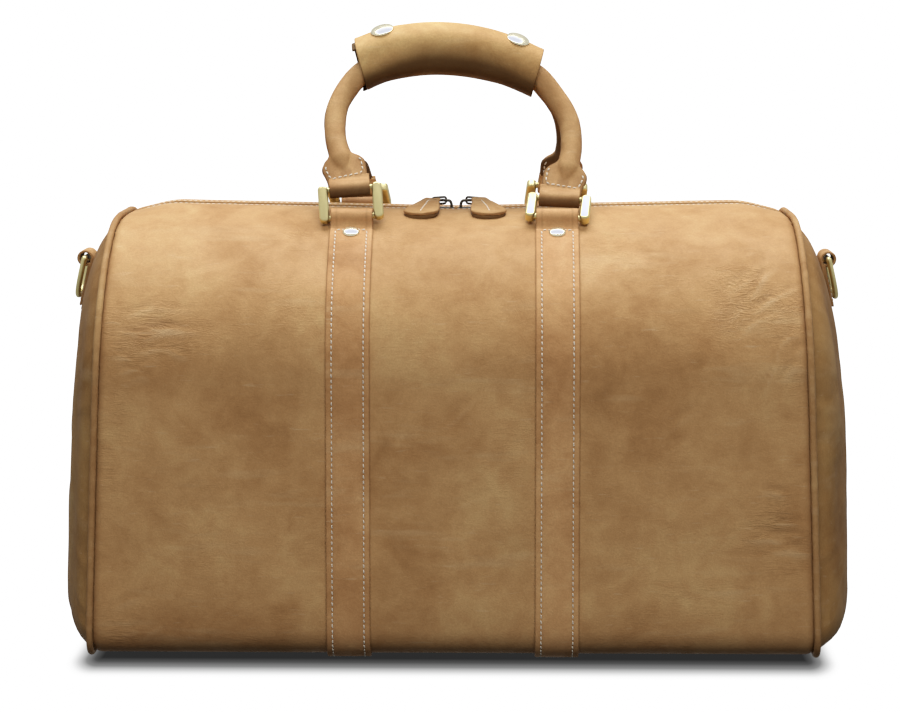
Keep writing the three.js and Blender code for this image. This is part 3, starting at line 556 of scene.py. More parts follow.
def metal_material(name, tint, rough=0.24, dark=(0.2, 0.13, 0.05), wear=0.35):
    """Cast metal with a thin patina, tiny pits and fine scratches."""
    material, n, shader = new_material(name)
    patina = n.noise(130, 4, 0.6)
    n.put(shader.inputs["Base Color"], n.mix(n.span(patina, 0.5, 0.75, 0, wear), tint, dark))
    shader.inputs["Metallic"].default_value = 1.0
    scratches = n.noise(900, 2, 0.6, n.scaled((0.15, 1, 1), (0, 0, 0), (0.3, 0.5, 0.2)))
    mixed = n.math("ADD", n.span(patina, 0.3, 0.8, rough, rough + 0.14), n.span(scratches, 0.5, 0.8, 0, 0.08))
    n.put(shader.inputs["Roughness"], mixed)
    pits = n.noise(1400, 3, 0.6)
    n.put(shader.inputs["Normal"], n.bump(n.math("ADD", pits, scratches), 0.00002, 0.4))
    return material


def woven_material(name, light, dark, pitch, axes=("X", "Y")):
    """A plain weave of two sets of threads."""
    material, n, shader = new_material(name)
    over = n.math("MAXIMUM", *(n.wave(pitch, axis) for axis in axes))
    shade = n.math("MULTIPLY", over, n.span(n.noise(500, 3, 0.6), 0.3, 0.7, 0.7, 1.1))
    n.put(shader.inputs["Base Color"], n.mix(shade, dark, light))
    shader.inputs["Roughness"].default_value = 0.9
    shader.inputs["Sheen Weight"].default_value = 0.2
    n.put(shader.inputs["Normal"], n.bump(over, 0.0001, 0.5))
    return material


def thread_material(name, tint):
    """Waxed twisted thread."""
    material, n, shader = new_material(name)
    twist = n.noise(1800, 2, 0.5)
    n.put(shader.inputs["Base Color"], n.mix(n.span(twist, 0.35, 0.7), tuple(c * 0.72 for c in tint), tint))
    shader.inputs["Roughness"].default_value = 0.6
    n.put(shader.inputs["Normal"], n.bump(twist, 0.00008, 0.5))
    return material


BODY_LEATHER = leather_material("body_leather", (1.05, 1.0, 0.93), low_shade=0.42)
END_LEATHER = leather_material("end_leather", (0.84, 0.79, 0.64), 8.0, 3.3, 0.2)
STRAP_LEATHER = leather_material("strap_leather", (1.16, 1.06, 1.0), 12.0, 7.1, 0.35)
HANDLE_LEATHER = leather_material("handle_leather", (1.04, 1.0, 0.95), 14.0, 11.9)
# This tint is lighter than the other leathers' as painted light, for the bright top of the wrap.
GRIP_LEATHER = leather_material("grip_leather", (1.24, 1.28, 1.14), 10.0, 17.3)
TAB_LEATHER = leather_material("tab_leather", (1.02, 0.98, 0.9), 20.0, 23.1)
PIPING_LEATHER = leather_material("piping_leather", (0.84, 0.79, 0.72), 14.0, 29.7, 0.3)
BRASS = metal_material("pale_brass", (0.74, 0.63, 0.29), 0.34, (0.3, 0.25, 0.12), 0.2)
CAP_BRASS = metal_material("polished_brass", (0.9, 0.83, 0.6), 0.18, (0.45, 0.33, 0.14), 0.1)
DARK_METAL = metal_material("dark_metal", (0.10, 0.085, 0.07), 0.32, (0.03, 0.025, 0.02))
TEETH_METAL = metal_material("teeth_metal", (0.34, 0.27, 0.16), 0.35, (0.08, 0.06, 0.04))
THREAD = thread_material("cream_thread", (0.86, 0.77, 0.62))
TAPE = woven_material("zip_tape", (0.10, 0.055, 0.032), (0.03, 0.017, 0.01), 700)
COTTON = woven_material("cotton_lining", (0.22, 0.15, 0.095), (0.09, 0.06, 0.035), 600, ("X", "Z"))
BOARD = woven_material("base_board_fibre", (0.17, 0.15, 0.12), (0.08, 0.07, 0.055), 260, ("X", "DIAGONAL"))
CORD = woven_material("cotton_cord", (0.72, 0.64, 0.48), (0.4, 0.33, 0.22), 320, ("DIAGONAL", "Z"))


# ---- meshes ----
def add(name, part, material, body, slot, *nodes, **fields):
    """A piece from (verts, faces) that rides on body, if one is given, in place of the frame's nodes.

    Each field is one number per vertex, which the leather's material reads.
    """
    verts, faces = part
    mesh = bpy.data.meshes.new(name)
    mesh.from_pydata((np.asarray(verts, float) * MM).tolist(), [], faces)
    mesh.update()
    for key, values in fields.items():
        layer = mesh.attributes.new(key, "FLOAT", "POINT")
        layer.data.foreach_set("value", np.asarray(values, np.float32))
    work = bmesh.new()
    work.from_mesh(mesh)
    bmesh.ops.recalc_face_normals(work, faces=work.faces)
    work.to_mesh(mesh)
    work.free()
    mesh.polygons.foreach_set("use_smooth", [True] * len(mesh.polygons))
    mesh.materials.append(material)
    piece = bpy.data.objects.new(name, mesh)
    bpy.context.scene.collection.objects.link(piece)
    if body:
        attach(piece, body)
    if nodes:
        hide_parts(*nodes)
    return piece


def quads(index, wrap_rows=False, wrap_columns=False):
    """Faces between the rows and columns of a grid of vertex numbers."""
    rows = np.vstack([index, index[:1]]) if wrap_rows else index
    if wrap_columns:
        rows = np.hstack([rows, rows[:, :1]])
    a, b, c, d = rows[:-1, :-1], rows[:-1, 1:], rows[1:, 1:], rows[1:, :-1]
    return np.stack([a, b, c, d], -1).reshape(-1, 4).tolist()


def numbered(rows, columns):
    return np.arange(rows * columns).reshape(rows, columns)


def capped(index):
    """Faces of a grid that closes round its columns, with a face over each end."""
    return quads(index, False, True) + [index[0].tolist(), index[-1][::-1].tolist()]


def shell(top, bottom):
    """A closed sheet between two grids that share their outer edge."""
    rows, columns = top.shape[:2]
    upper = numbered(rows, columns)
    lower = upper.copy()
    lower[1:-1, 1:-1] = upper.size + numbered(rows - 2, columns - 2)
    verts = np.vstack([top.reshape(-1, 3), bottom[1:-1, 1:-1].reshape(-1, 3)])
    return verts, quads(upper) + quads(lower[::-1])


def both(field):
    """A field on a sheet's top grid, carried to the bottom grid's own points too."""
    return np.concatenate([field.ravel(), field[1:-1, 1:-1].ravel()])


def rim_field(rows, columns, width=0.9):
    """1 at a sheet's edges and 0 inside, from each line's distance to the nearest end."""
    r = np.minimum(rows - rows.min(), rows.max() - rows)
    c = np.minimum(columns - columns.min(), columns.max() - columns)
    return 1 - np.clip(np.minimum.outer(r, c) / width, 0, 1)


def sheet_half(rows, columns, thickness):
    """Half a sheet's thickness, from how far each row and column is from the sheet's edges."""
    return rim(rows, thickness)[:, None] * rim(columns, thickness)[None] / (thickness / 2)


def folded_strip(path, across, origin, wide, out, up):
    """A strip of thin leather that follows a path drawn in the out and up directions."""
    tangent = unit(np.gradient(path, axis=0))
    normal = np.stack([-tangent[:, 1], tangent[:, 0]], 1)
    run = run_length(path)
    half = sheet_half(np.minimum(run, run[-1] - run), across.max() - np.abs(across), FOLD_LEATHER)
    grids = []
    for sign in (1, -1):
        off = path[:, None] + sign * half[..., None] * normal[:, None]
        grids.append(origin + across[None, :, None] * wide + off[..., :1] * out + off[..., 1:] * up)
    return shell(*grids)


def tube(path, radius, sides=12, closed=False, up=(0, 0, 1), squash=1.0):
    """Verts and faces of a round tube along path; radius may be one number per point."""
    path = np.asarray(path, float)
    if closed:
        tangent = unit(np.roll(path, -1, 0) - np.roll(path, 1, 0))
    else:
        tangent = unit(np.gradient(path, axis=0))
    side = unit(np.cross(tangent, np.broadcast_to(np.asarray(up, float), tangent.shape)))
    normal = np.cross(side, tangent)
    radius = np.broadcast_to(np.asarray(radius, float), (len(path),))
    angle = np.arange(sides) * 2 * PI / sides
    ring = side[:, None] * np.cos(angle)[None, :, None] + squash * normal[:, None] * np.sin(angle)[None, :, None]
    grid = path[:, None] + ring * radius[:, None, None]
    index = numbered(len(path), sides)
    return grid.reshape(-1, 3), quads(index, True, True) if closed else capped(index)


def merged(parts):
    """One part from several (verts, faces)."""
    verts, faces, start = [], [], 0
    for v, f in parts:
        verts.append(np.asarray(v, float))
        faces += [[i + start for i in face] for face in f]
        start += len(v)
    return np.vstack(verts), faces


def placed(part, origin, axes):
    """part's verts moved from a local frame whose axes are the three given directions."""
    verts, faces = part
    return np.asarray(verts) @ np.array(axes, float) + np.asarray(origin, float), faces


def lathe(profile, sides=40):
    """A turned solid about Z from (radius, z) pairs that start and end on the axis."""
    profile = np.asarray(profile, float)
    angle = np.arange(sides) * 2 * PI / sides
    body = profile[1:-1]
    grid = vec(body[:, :1] * np.cos(angle), body[:, :1] * np.sin(angle), body[:, 1:])
    verts = np.vstack([grid.reshape(-1, 3), [[0, 0, profile[0][1]], [0, 0, profile[-1][1]]]])
    index = numbered(len(body), sides)
    return verts, quads(index, False, True) + fan(index[0][::-1], index.size) + fan(index[-1], index.size + 1)


def fan(ring, hub):
    """Triangles from a ring of vertex numbers to the hub."""
    return [[hub, int(i), int(j)] for i, j in zip(ring, np.roll(ring, -1))]


def rounded_rectangle(width, height, radius, steps):
    outline = []
    for cx, cy, start in ((1, 1, 0), (-1, 1, 90), (-1, -1, 180), (1, -1, 270)):
        for k in range(steps + 1):
            a = math.radians(start + 90 * k / steps)
            x = cx * (width / 2 - radius) + radius * math.cos(a)
            outline.append((x, cy * (height / 2 - radius) + radius * math.sin(a)))
    return np.array(outline)


def prism(outline, thickness, bevel, segments):
    """A plate from an outline in the XY plane, its rim rounded by bevel, centred on z = 0."""
    outline = np.asarray(outline, float)
    steps = []
    for a in np.linspace(0, PI / 2, segments + 1):
        steps.append((bevel * (1 - math.sin(a)), thickness / 2 - bevel * (1 - math.cos(a))))
    levels = steps + [(inset, -z) for inset, z in reversed(steps)]
    tangent = unit(np.roll(outline, -1, 0) - np.roll(outline, 1, 0))
    outward = np.stack([tangent[:, 1], -tangent[:, 0]], 1)
    if (outward * (outline - outline.mean(0))).sum() < 0:
        outward = -outward
    rings = [np.column_stack([outline - outward * inset, np.full(len(outline), z)]) for inset, z in levels]
    return np.vstack(rings), capped(numbered(len(rings), len(outline)))


def stitch_template():
    """One stitch of length 1 along X, with Z up from the leather."""
    rings, sides = 7, 6
    verts = []
    for k in range(rings):
        q = -1 + 2 * k / (rings - 1)
        thick = math.sqrt(max(0.12, 1 - 0.55 * q**4))
        for i in range(sides):
            a = 2 * PI * i / sides
            verts.append((q * 0.5, thick * math.cos(a), (0.35 - q**4) + thick * math.sin(a)))
    return np.array(verts), capped(numbered(rings, sides))


STITCH = stitch_template()


def stitch_row(points, normals, pitch=3.5, fill=0.74, radius=0.42):
    """Stitches along a line on leather, each as (verts, faces); normals may be one for all."""
    normals = np.broadcast_to(normals, points.shape)
    run = run_length(points)
    margin = 0.5
    count = max(1, int(round((run[-1] - 2 * margin) / pitch)))
    step = (run[-1] - 2 * margin) / count
    out = []
    verts, faces = STITCH
    for k in range(count):
        mid = margin + (k + 0.5) * step
        p = line_at(mid + np.array([-0.5, 0, 0.5]) * step * fill, run, points)
        normal = unit(line_at(mid, run, normals))
        along = unit(p[2] - p[0])
        side = unit(np.cross(normal, along))
        along = unit(along + side * (0.1 + 0.04 * math.sin(k * 2.4)))
        local = verts * np.array([step * fill, radius, radius])
        out.append((p[1] + local[:, :1] * along + local[:, 1:2] * side + local[:, 2:] * normal, faces))
    return out


def stitches(name, rows, body):
    """One piece with all the stitches of rows of (points, normals, options)."""
    parts = [stitch for points, normals, options in rows for stitch in stitch_row(points, normals, **options)]
    add(name, merged(parts), THREAD, body, "strap_leather")


def grid_normals(grid):
    return unit(np.cross(np.gradient(grid, axis=0), np.gradient(grid, axis=1)))


# ---- body ----
def body_panel(back):
    side = "back" if back else "front"
    s = spread(0, S_END - 0.1, 2.1, (ZIP_STITCH,))
    u = spread(-PANEL_HALF, PANEL_HALF, 2.1, [a * STRAP_X + b * STRAP_HALF for a in (1, -1) for b in (1, -1)])
    _, z, _, _ = section(s)
    x = u[None, :] / PANEL_HALF * (seam_x(z)[:, None] - 1.0)
    rows = np.broadcast_to(s[:, None], x.shape)
    lift, creases = puff(x, rows, back)
    from_side = PANEL_HALF - np.abs(u)
    half = sheet_half(np.minimum(s, S_END - 0.1 - s), from_side, LEATHER)
    curl = CURL_DEPTH * (1 - np.sqrt(1 - np.clip(1 - from_side / CURL_WIDTH, 0, 1) ** 2))
    groove = 0.35 * np.exp(-(((rows - ZIP_STITCH) / 0.8) ** 2)) * smooth(6, 12, from_side)
    middle = lift - LEATHER / 2 - curl
    top = skin(x, rows, middle + half - groove, back, False)
    bottom = skin(x, rows, middle - half, back, False)
    fields = {
        "crease": creases,
        # Dark cut rim, plus painted shade where the panel's edge curls down into its seam.
        "edge": np.maximum(rim_field(s, u, 0.8), np.exp(-(((from_side - 0.5) / 2.8) ** 2))),
        "crinkle": crinkle_field(CRINKLES, x, rows, back),
        "crinkle_slant": crinkle_field(SLANTED, x, rows, back),
    }
    fields = {key: both(field) for key, field in fields.items()}
    add(f"{side}_leather", shell(top, bottom), BODY_LEATHER, "bag", "body_leather", f"{side}_panel", **fields)
    row = int(np.argmin(np.abs(s - ZIP_STITCH)))
    keep = np.abs(x[row]) < 205
    line, up = top[row][keep], grid_normals(top)[row][keep]
    up = up * np.sign(up[:, 2].mean())
    stitches(f"{side}_zip_stitches", [(line, up, {"pitch": 3.6})], "bag")


def end_outline(count):
    """A loop round an end: its runs along the section, which are at the back, places and normals."""
    s = np.concatenate([np.linspace(-ZIP_HALF, S_END, count), np.linspace(S_END, -ZIP_HALF, count)[1:-1]])
    return (s, np.arange(len(s)) >= count, *section(s))


def end_panel(side):
    """An end's leather: rings that close in from its outline to a hub in the middle."""
    name = SIDES[side]
    s, back, y, z, ny, nz = end_outline(150)
    y, z = np.where(back, ny - y, y - ny), z - nz
    rings = np.concatenate([[1, 0.9985, 0.996, 0.992, 0.986, 0.979], np.linspace(0.97, 0.03, 40)])[:, None]
    yy = rings * y
    zz = END_MIDDLE + rings * (z - END_MIDDLE)
    gone = (1 - rings) * np.hypot(y, z - END_MIDDLE)
    drop = crown_rise(seam_x(zz)) * crown_share(yy, zz)
    around = s / 7.0 + np.where(back, 400, 0)
    pucker = 0.9 * np.exp(-gone / 12) * noise(vec(around, gone / 30, 2.0 * side), 21)
    spot = vec(yy, zz, 60.0 * side)
    folds = 1.5 * noise(vec(yy / 26, zz / 95, 3.0 * side), 22) + 0.6 * noise(spot / 30, 23)
    fine = 0.15 * noise(spot / 9, 24)
    inside = smooth(2, 30, gone)
    near_tab = smooth(22, 60, np.hypot(yy, zz - 235))
    x = seam_x(zz) - 1.2 + (end_depth(yy, zz, side) + 1.2) * (1 - np.exp(-gone / 4.5))
    x = x + (folds * inside + pucker) * near_tab + fine * inside - 0.7
    outer = vec(side * x, yy, zz + drop)
    inner = outer - vec(side * LEATHER, 0, 0) * smooth(0, 2.0, gone)[..., None]
    upper = numbered(*x.shape)
    lower = upper.copy()
    lower[1:] = upper.size + numbered(len(x) - 1, len(s))
    hub = 2 * upper.size - len(s)
    tip = outer[-1].mean(0)
    verts = np.vstack([outer.reshape(-1, 3), inner[1:].reshape(-1, 3), [tip, tip - [side * LEATHER, 0, 0]]])
    faces = quads(upper, False, True) + quads(lower[::-1], False, True)
    faces += fan(upper[-1], hub) + fan(lower[-1][::-1], hub + 1)
    carry = lambda field: np.concatenate([field.ravel(), field[1:].ravel(), [0, 0]])
    # The folds' relief, for the creases' painted shade and highlight.
    crease = carry((folds * 0.25 + pucker * 0.8) * inside * near_tab)
    # Painted shade in the groove along the seam.
    edge = carry(0.9 * np.exp(-((gone / 4.0) ** 2)))
    part = (verts, faces)
    add(f"end_leather_{name}", part, END_LEATHER, "bag", "body_leather", f"end_panel_{name}", crease=crease, edge=edge)


def piping(side):
    name = SIDES[side]
    s, back, y, z, _, _ = end_outline(260)
    drop = crown_rise(seam_x(z)) * crown_share(y, z)
    path = vec(side * seam_x(z), np.where(back, -y, y), z + drop)
    wobble = 1 + 0.05 * noise(vec(s / 6, back * 50.0, 3.0 * side), 41)
    part = tube(path, PIPING * wobble, 12, True, (1, 0, 0))
    add(f"piping_leather_{name}", part, PIPING_LEATHER, "bag", "body_leather", f"piping_{name}")


# ---- straps ----
def loop_path():
    """A strap's end as it folds over the ring's bar: (run up the shoulder, height) pairs."""
    points = [(-6.6, 1.15), (-3.2, 1.25)] + arc(LOOP_MID, range(-90, 166, 12), LOOP_HEIGHT)
    points += [(-4.75, 5.0), (-6.2, 3.35), (-9, 2.25), (-12, 1.6), (-16, 1.4), (-20, 1.4)]
    return catmull(np.array(points), 64)


TONGUE_END = 48  # the row of the path where the loop goes in under the strap's cut end
STITCH_START = 50  # the first row of the path that lies past the fold


def strap(side):
    name = SIDES[side]
    across = spread(-STRAP_HALF, STRAP_HALF, 1.3, (-STRAP_STITCH, STRAP_STITCH))
    fold = loop_path()
    fold_s = S_LOOP - fold[:, 0] * SHOULDER / (SHOULDER + fold[:, 1])
    straight = np.append(np.arange(fold_s[-1] + 2.2, S_END, 2.2), S_END)
    path = np.vstack([np.stack([fold_s, fold[:, 1]], 1), np.stack([straight, np.full(len(straight), 1.4)], 1)])
    place = np.arange(len(path))
    step = smooth(TONGUE_END - 0.6, TONGUE_END + 0.6, place)
    path[:, 1] -= 0.7 * smooth(TONGUE_END - 9, TONGUE_END - 2, place) * (1 - step)
    s0, h0 = path[:, :1], path[:, 1:]
    tangent = unit(np.gradient(path, axis=0))
    thick = np.interp(place, [0, TONGUE_END - 3, TONGUE_END - 0.6, TONGUE_END + 0.6], [1.6, 1.5, 1.4, 2.0])[:, None]
    narrow = 1 - 0.03 * (1 - step)[:, None]
    a = np.abs(across)
    half = rim(STRAP_HALF - a, 2.0) * thick / 2 * rim(run_length(path)[:, None], 1.6) / 0.8
    body = smooth(40, 70, place)[:, None]
    groove = 0.32 * np.exp(-(((a - STRAP_STITCH) / 0.75) ** 2)) * body
    crown = 0.45 * np.clip(1 - (a / STRAP_STITCH) ** 2, 0, 1) * body * smooth(S_BASE, S_CORNER, s0)
    wave = 0.12 * noise(vec((side * STRAP_X + across) / 9, s0 / 16, 5.0 * side), 51)
    sheets = []
    for offset in (half - groove + crown + wave * (half / thick), -half):
        s = s0 - tangent[:, 1:] * offset * SHOULDER / (SHOULDER + h0)
        h = h0 + tangent[:, :1] * offset
        front, back = (skin(side * STRAP_X + across * narrow, s, h, is_back) for is_back in (False, True))
        sheets.append(np.vstack([front, back[-2::-1]]))
    top = sheets[0]
    verts, faces = shell(*sheets)
    verts[:, 2] = np.maximum(verts[:, 2], 0)
    edge = np.clip(1 - (STRAP_HALF - a) / 0.9, 0, 1)
    edge = np.maximum(edge, 0.5 * np.exp(-(((a - STRAP_STITCH) / 0.7) ** 2)))
    # Painted shadow on the tongue where it goes in under the strap's cut end.
    step_shadow = 0.9 * np.exp(-(((place - TONGUE_END + 0.8) / 0.9) ** 2))
    edge = both(np.maximum(edge, np.concatenate([step_shadow, step_shadow[-2::-1]])[:, None]))
    add(f"strap_leather_{name}", (verts, faces), STRAP_LEATHER, "bag", "strap_leather", f"strap_{name}", edge=edge)
    normals = grid_normals(top)
    normals = normals * np.sign(normals[len(path) // 3, len(across) // 2] @ [0.0, -1.0, 0.2])
    rows = []
    for where in (-STRAP_STITCH, STRAP_STITCH):
        column = int(np.argmin(np.abs(across - where)))
        line = (slice(STITCH_START, -STITCH_START), column)
        rows.append((top[line], normals[line], {"pitch": 3.55}))
    keep = a <= STRAP_STITCH + 0.01
    for row in (STITCH_START, len(top) - 1 - STITCH_START):
        rows.append((top[row][keep], normals[row][keep], {"pitch": 3.3}))
    stitches(f"strap_stitches_{name}", rows, "bag")


def rivet(face, side):
    name = f"{face}_{SIDES[side]}"
    y, z, ny, nz = section(S_RIVET)
    sign = -1.0 if face == "back" else 1.0
    normal = np.array([0, sign * ny, nz])
    along = unit(np.cross(normal, [1.0, 0, 0]))
    under = STRAP_TOP + 0.3
    tail = -LEATHER - 0.9
    shank = [(0, tail - 1), (3.2, tail - 1), (3.6, tail - 0.7), (3.6, tail), (1.5, tail), (1.5, under - 0.2)]
    dome = [
        (4.9, -0.3), (5.3, -0.1), (5.45, 0.25), (5.3, 0.65), (4.9, 0.95), (4.2, 1.25), (3.2, 1.55), (2.0, 1.78),
        (0.9, 1.88), (0, 1.9),
    ]
    profile = shank + [(radius, under + height) for radius, height in dome]
    part = placed(lathe(profile, 44), [side * STRAP_X, sign * y, z], [[1, 0, 0], along, normal])
    add(f"rivet_cap_{name}", part, CAP_BRASS, "bag", "brass", f"rivet_{name}")


# ---- rings and handles ----
def ring_frame(face, side):
    """Origin at the lower bar and the axes (along the bar, across, up) of a ring at rest."""
    lean = -RING_LEAN[(face, side)]
    tilt = side * RING_TILT
    turn = np.array(Matrix.Rotation(lean, 3, "X") @ Matrix.Rotation(tilt, 3, "Y"))
    reach = SHOULDER + LOOP_HEIGHT
    origin = np.array(
        [
            side * STRAP_X,
            -(HALF_DEPTH - SHOULDER) - reach * math.cos(LOOP_ANGLE),
            CROWN - SHOULDER + reach * math.sin(LOOP_ANGLE),
        ]
    )
    axes = turn.T.copy()
    return origin, axes


def flipped(origin, axes, face):
    """The same frame mirrored to the back."""
    if face == "front":
        return origin, axes
    return origin * [1, -1, 1], axes * [1, -1, 1]


def ring(face, side):
    """Two upright cast plates joined by a lower and an upper bar."""
    name = f"{face}_{SIDES[side]}"
    width, plate, deep, tall, bar = 41.4, 6.5, 6.6, 25.0, 2.0
    verts, faces = prism(rounded_rectangle(plate, tall, 2.9, 7), deep, 1.5, 5)
    turned = np.stack([verts[:, 0], -verts[:, 2], verts[:, 1] + BAR_SPACING / 2], 1)
    shift = (width - plate) / 2
    parts = [(turned + [dx, 0, 0], faces) for dx in (-shift, shift)]
    for z in (0, BAR_SPACING):
        path = np.array([[x, 0, z] for x in (-shift - 1.5, -shift, shift, shift + 1.5)])
        parts.append(tube(path, bar, 18))
    part = placed(merged(parts), *flipped(*ring_frame(face, side), face))
    add(f"cast_ring_{name}", part, BRASS, f"{face}_rings", "brass", f"ring_{name}")


def upper_bar(face, side):
    origin, axes = ring_frame(face, side)
    return origin + BAR_SPACING * axes[2]


def arch_points(face):
    """A handle's middle line, up from the left ring and down to the right one, skewed as it stands."""
    left, right = upper_bar(face, -1), upper_bar(face, 1)
    slant = math.atan2(left[2] - right[2], 2 * STRAP_X)
    tall = ARCH_HEIGHT[face]

    def point(sign, half, height):
        across = sign * half - 6 * min(1, height / 66)
        x = across * math.cos(slant) + height * math.sin(slant)
        z = (left[2] + right[2]) / 2 - across * math.sin(slant) + height * math.cos(slant)
        rest = (1 - min(1, height / (0.8 * tall))) ** 1.25
        share = 0.5 + across / (2 * STRAP_X)
        bar_y = left[1] + (right[1] - left[1]) * share
        return np.array([x, -ROLL_OFFSET + (bar_y + ROLL_OFFSET) * rest, z])

    up = [point(-1, half, share * tall) for half, share in ARCH]
    down = [point(1, half, share * tall) for half, share in ARCH[:-1]]
    return np.array(up + down[::-1])


TAB_STATIONS = [4.0, 8.0, 12.0, 15.0, 17.0, 19.0, 21.0, 23.0, 25.5, 28.0, 60.0]
TAB_HALF = [13.1, 13.3, 13.8, 14.3, 14.5, 14.3, 13.4, 11.4, 8.0, 5.5, 5.5]


def tab_half_width(d):
    """Half the width of a handle's tab at d up from the bar."""
    return np.interp(d, TAB_STATIONS, TAB_HALF)


def roll_growth(d):
    """0 to 1: how much of the full roll there is at d up from the bar."""
    return smooth(7.5, 25, d)


def tab_height(a, d):
    """Height of a handle's front above its middle plane, at a across and d up from the bar."""
    flat = TAB_THICK * np.clip(1 - (np.abs(a) / tab_half_width(d)) ** 8, 0, 1) ** (1 / 8)
    roll = np.sqrt(np.maximum((ROLL * roll_growth(d)) ** 2 - np.asarray(a) ** 2, 0))
    return (flat**5 + roll**5) ** 0.2


def handle_frames(face):
    """Stations along a handle from the left ring's bar to the right one's: place, run, across and front."""
    bars = {side: upper_bar(face, side) for side in (-1, 1)}
    path = catmull(np.vstack([bars[-1], arch_points(face), bars[1]]), 420)
    run = run_length(path)
    tangent = unit(np.gradient(path, axis=0))
    across = unit(np.cross([0.0, -1.0, 0.0], tangent))
    bar_axis = {side: ring_frame(face, side)[1][0] for side in (-1, 1)}
    near_left, near_right = (1 - smooth(22, 48, at)[:, None] for at in (run, run[-1] - run))
    across = across * (1 - near_left - near_right) - near_left * bar_axis[-1] + near_right * bar_axis[1]
    across = unit(across - (across * tangent).sum(1, keepdims=True) * tangent)
    return path, run, across, unit(np.cross(tangent, across))


def handle(face):
    """A rolled handle that flattens into a tab at each end and folds round the rings' upper bars."""
    path, run, across, normal = handle_frames(face)
    near = np.minimum(run, run[-1] - run)
    keep = near >= 4.0
    path, run, across, normal, near = path[keep], run[keep], across[keep], normal[keep], near[keep]
    sides = 44
    phi = np.arange(sides) * 2 * PI / sides
    cos, sin = np.cos(phi), np.sin(phi)
    up_tab = near[:, None]
    flat = ((np.abs(cos) / tab_half_width(up_tab)) ** 7 + (np.abs(sin) / TAB_THICK) ** 7) ** (-1 / 7)
    fade = smooth(26, 34, up_tab)
    flat = flat * (1 - fade) + 0.2 * fade
    radius = (flat**6 + (ROLL * roll_growth(up_tab)) ** 6) ** (1 / 6)
    wobble = 0.16 * noise(vec(run[:, None] / 14, cos * 1.2, sin * 1.2), 61)
    ribs = 0.07 * noise(vec(run[:, None] / 3.2, cos * 0.6, 3.0), 62)
    seam = 0.75 * np.exp(-(((phi - 1.25 * PI) / 0.11) ** 2)) * smooth(30, 45, up_tab)
    radius = (radius + (wobble + ribs) * smooth(20, 40, up_tab) - seam)[..., None]
    out = across[:, None] * radius * cos[:, None] + normal[:, None] * radius * sin[:, None]
    grid = path[:, None] + out
    parts = [(grid.reshape(-1, 3), capped(numbered(len(path), sides)))]
    # How dark each vertex is for the light that can't reach it.
    high_up = smooth(318, 358, grid[..., 2])
    dark = smooth(0.2, 2.5, out[..., 1]) * (0.95 - 0.7 * high_up) * (face == "back")
    darks = [dark.ravel()]
    rows = []
    for end in (-1, 1):
        order = slice(None, None, -end)
        bar, a = upper_bar(face, end), ring_frame(face, end)[1][0]
        up = unit(path[order][12] - bar)
        up = unit(up - (up @ a) * a)
        front = np.cross(a, up)
        front = front * np.sign(-front[1])
        loop = folded_strip(bar_loop_path(), spread(-13.15, 13.15, 1.4), bar, a, front, up)
        parts.append(loop)
        darks.append(0.9 * smooth(1.5, -4.5, (loop[0] - bar) @ up))
        facing = normal[order] * np.sign(normal[order][5] @ front)
        rows += tab_stitches(path[order], near[order], across[order] * end, facing)
    verts, faces = merged(parts)
    if face == "back":
        verts = verts * [1, -1, 1]
        rows = [(points * [1, -1, 1], normals * [1, -1, 1], options) for points, normals, options in rows]
    rim_edge = np.abs(cos) ** 24 * (1 - smooth(24, 30, up_tab))
    # Painted shade across the tab just above its fold round the bar, not at its sides.
    fold_shade = 0.8 * np.exp(-(((up_tab - 11.5) / 3.2) ** 2)) * (np.abs(cos) < 0.85)
    edge = np.zeros(len(verts))
    edge[: grid[..., 0].size] = np.maximum(rim_edge, fold_shade).ravel()
    fields = {"edge": edge, "shade": np.concatenate(darks)}
    part, body = (verts, faces), f"{face}_handle"
    add(f"handle_leather_{face}", part, HANDLE_LEATHER, body, "strap_leather", f"handle_{face}", **fields)
    stitches(f"handle_stitches_{face}", rows, body)


def bar_loop_path():
    """The fold of leather round a ring's upper bar, as (front, up) pairs."""
    points = [(1.1, 10), (1.15, 8), (1.7, 6), (3.2, 3.9)]
    points += arc(LOOP_MID, range(25, -206, -12))
    points += [(-3.2, 3.9), (-1.7, 6), (-1.15, 8), (-1.1, 10)]
    return catmull(np.array(points), 60)


def tab_stitches(path, near, across, normal):
    """The U of stitches on both faces of a handle's tab."""
    inset = 2.7
    left = [(inset - float(tab_half_width(d)), d) for d in (20.5, 18.5, 16, 13.5, 11.5)]
    left[0] = (left[0][0] + 0.8, left[0][1])
    left.append((inset + 0.7 - float(tab_half_width(9.8)), 9.9))
    bottom = [(x, 9.0) for x in np.linspace(-8.6, 8.6, 7)]
    line = catmull(np.array(left + bottom + [(-x, d) for x, d in reversed(left)]), 90)
    a, d = line[:, :1], line[:, 1]
    tab = slice(80)  # the rows that reach past the stitches
    middle, ax, no = (line_at(d, near[tab], field[tab]) for field in (path, across, normal))
    rows = []
    for sign in (1, -1):
        points = middle + a * unit(ax) + sign * (tab_height(a, line[:, 1:]) + 0.02) * unit(no)
        rows.append((points, unit(normal[8]) * sign, {"pitch": 3.7, "radius": 0.45, "fill": 0.68}))
    return rows


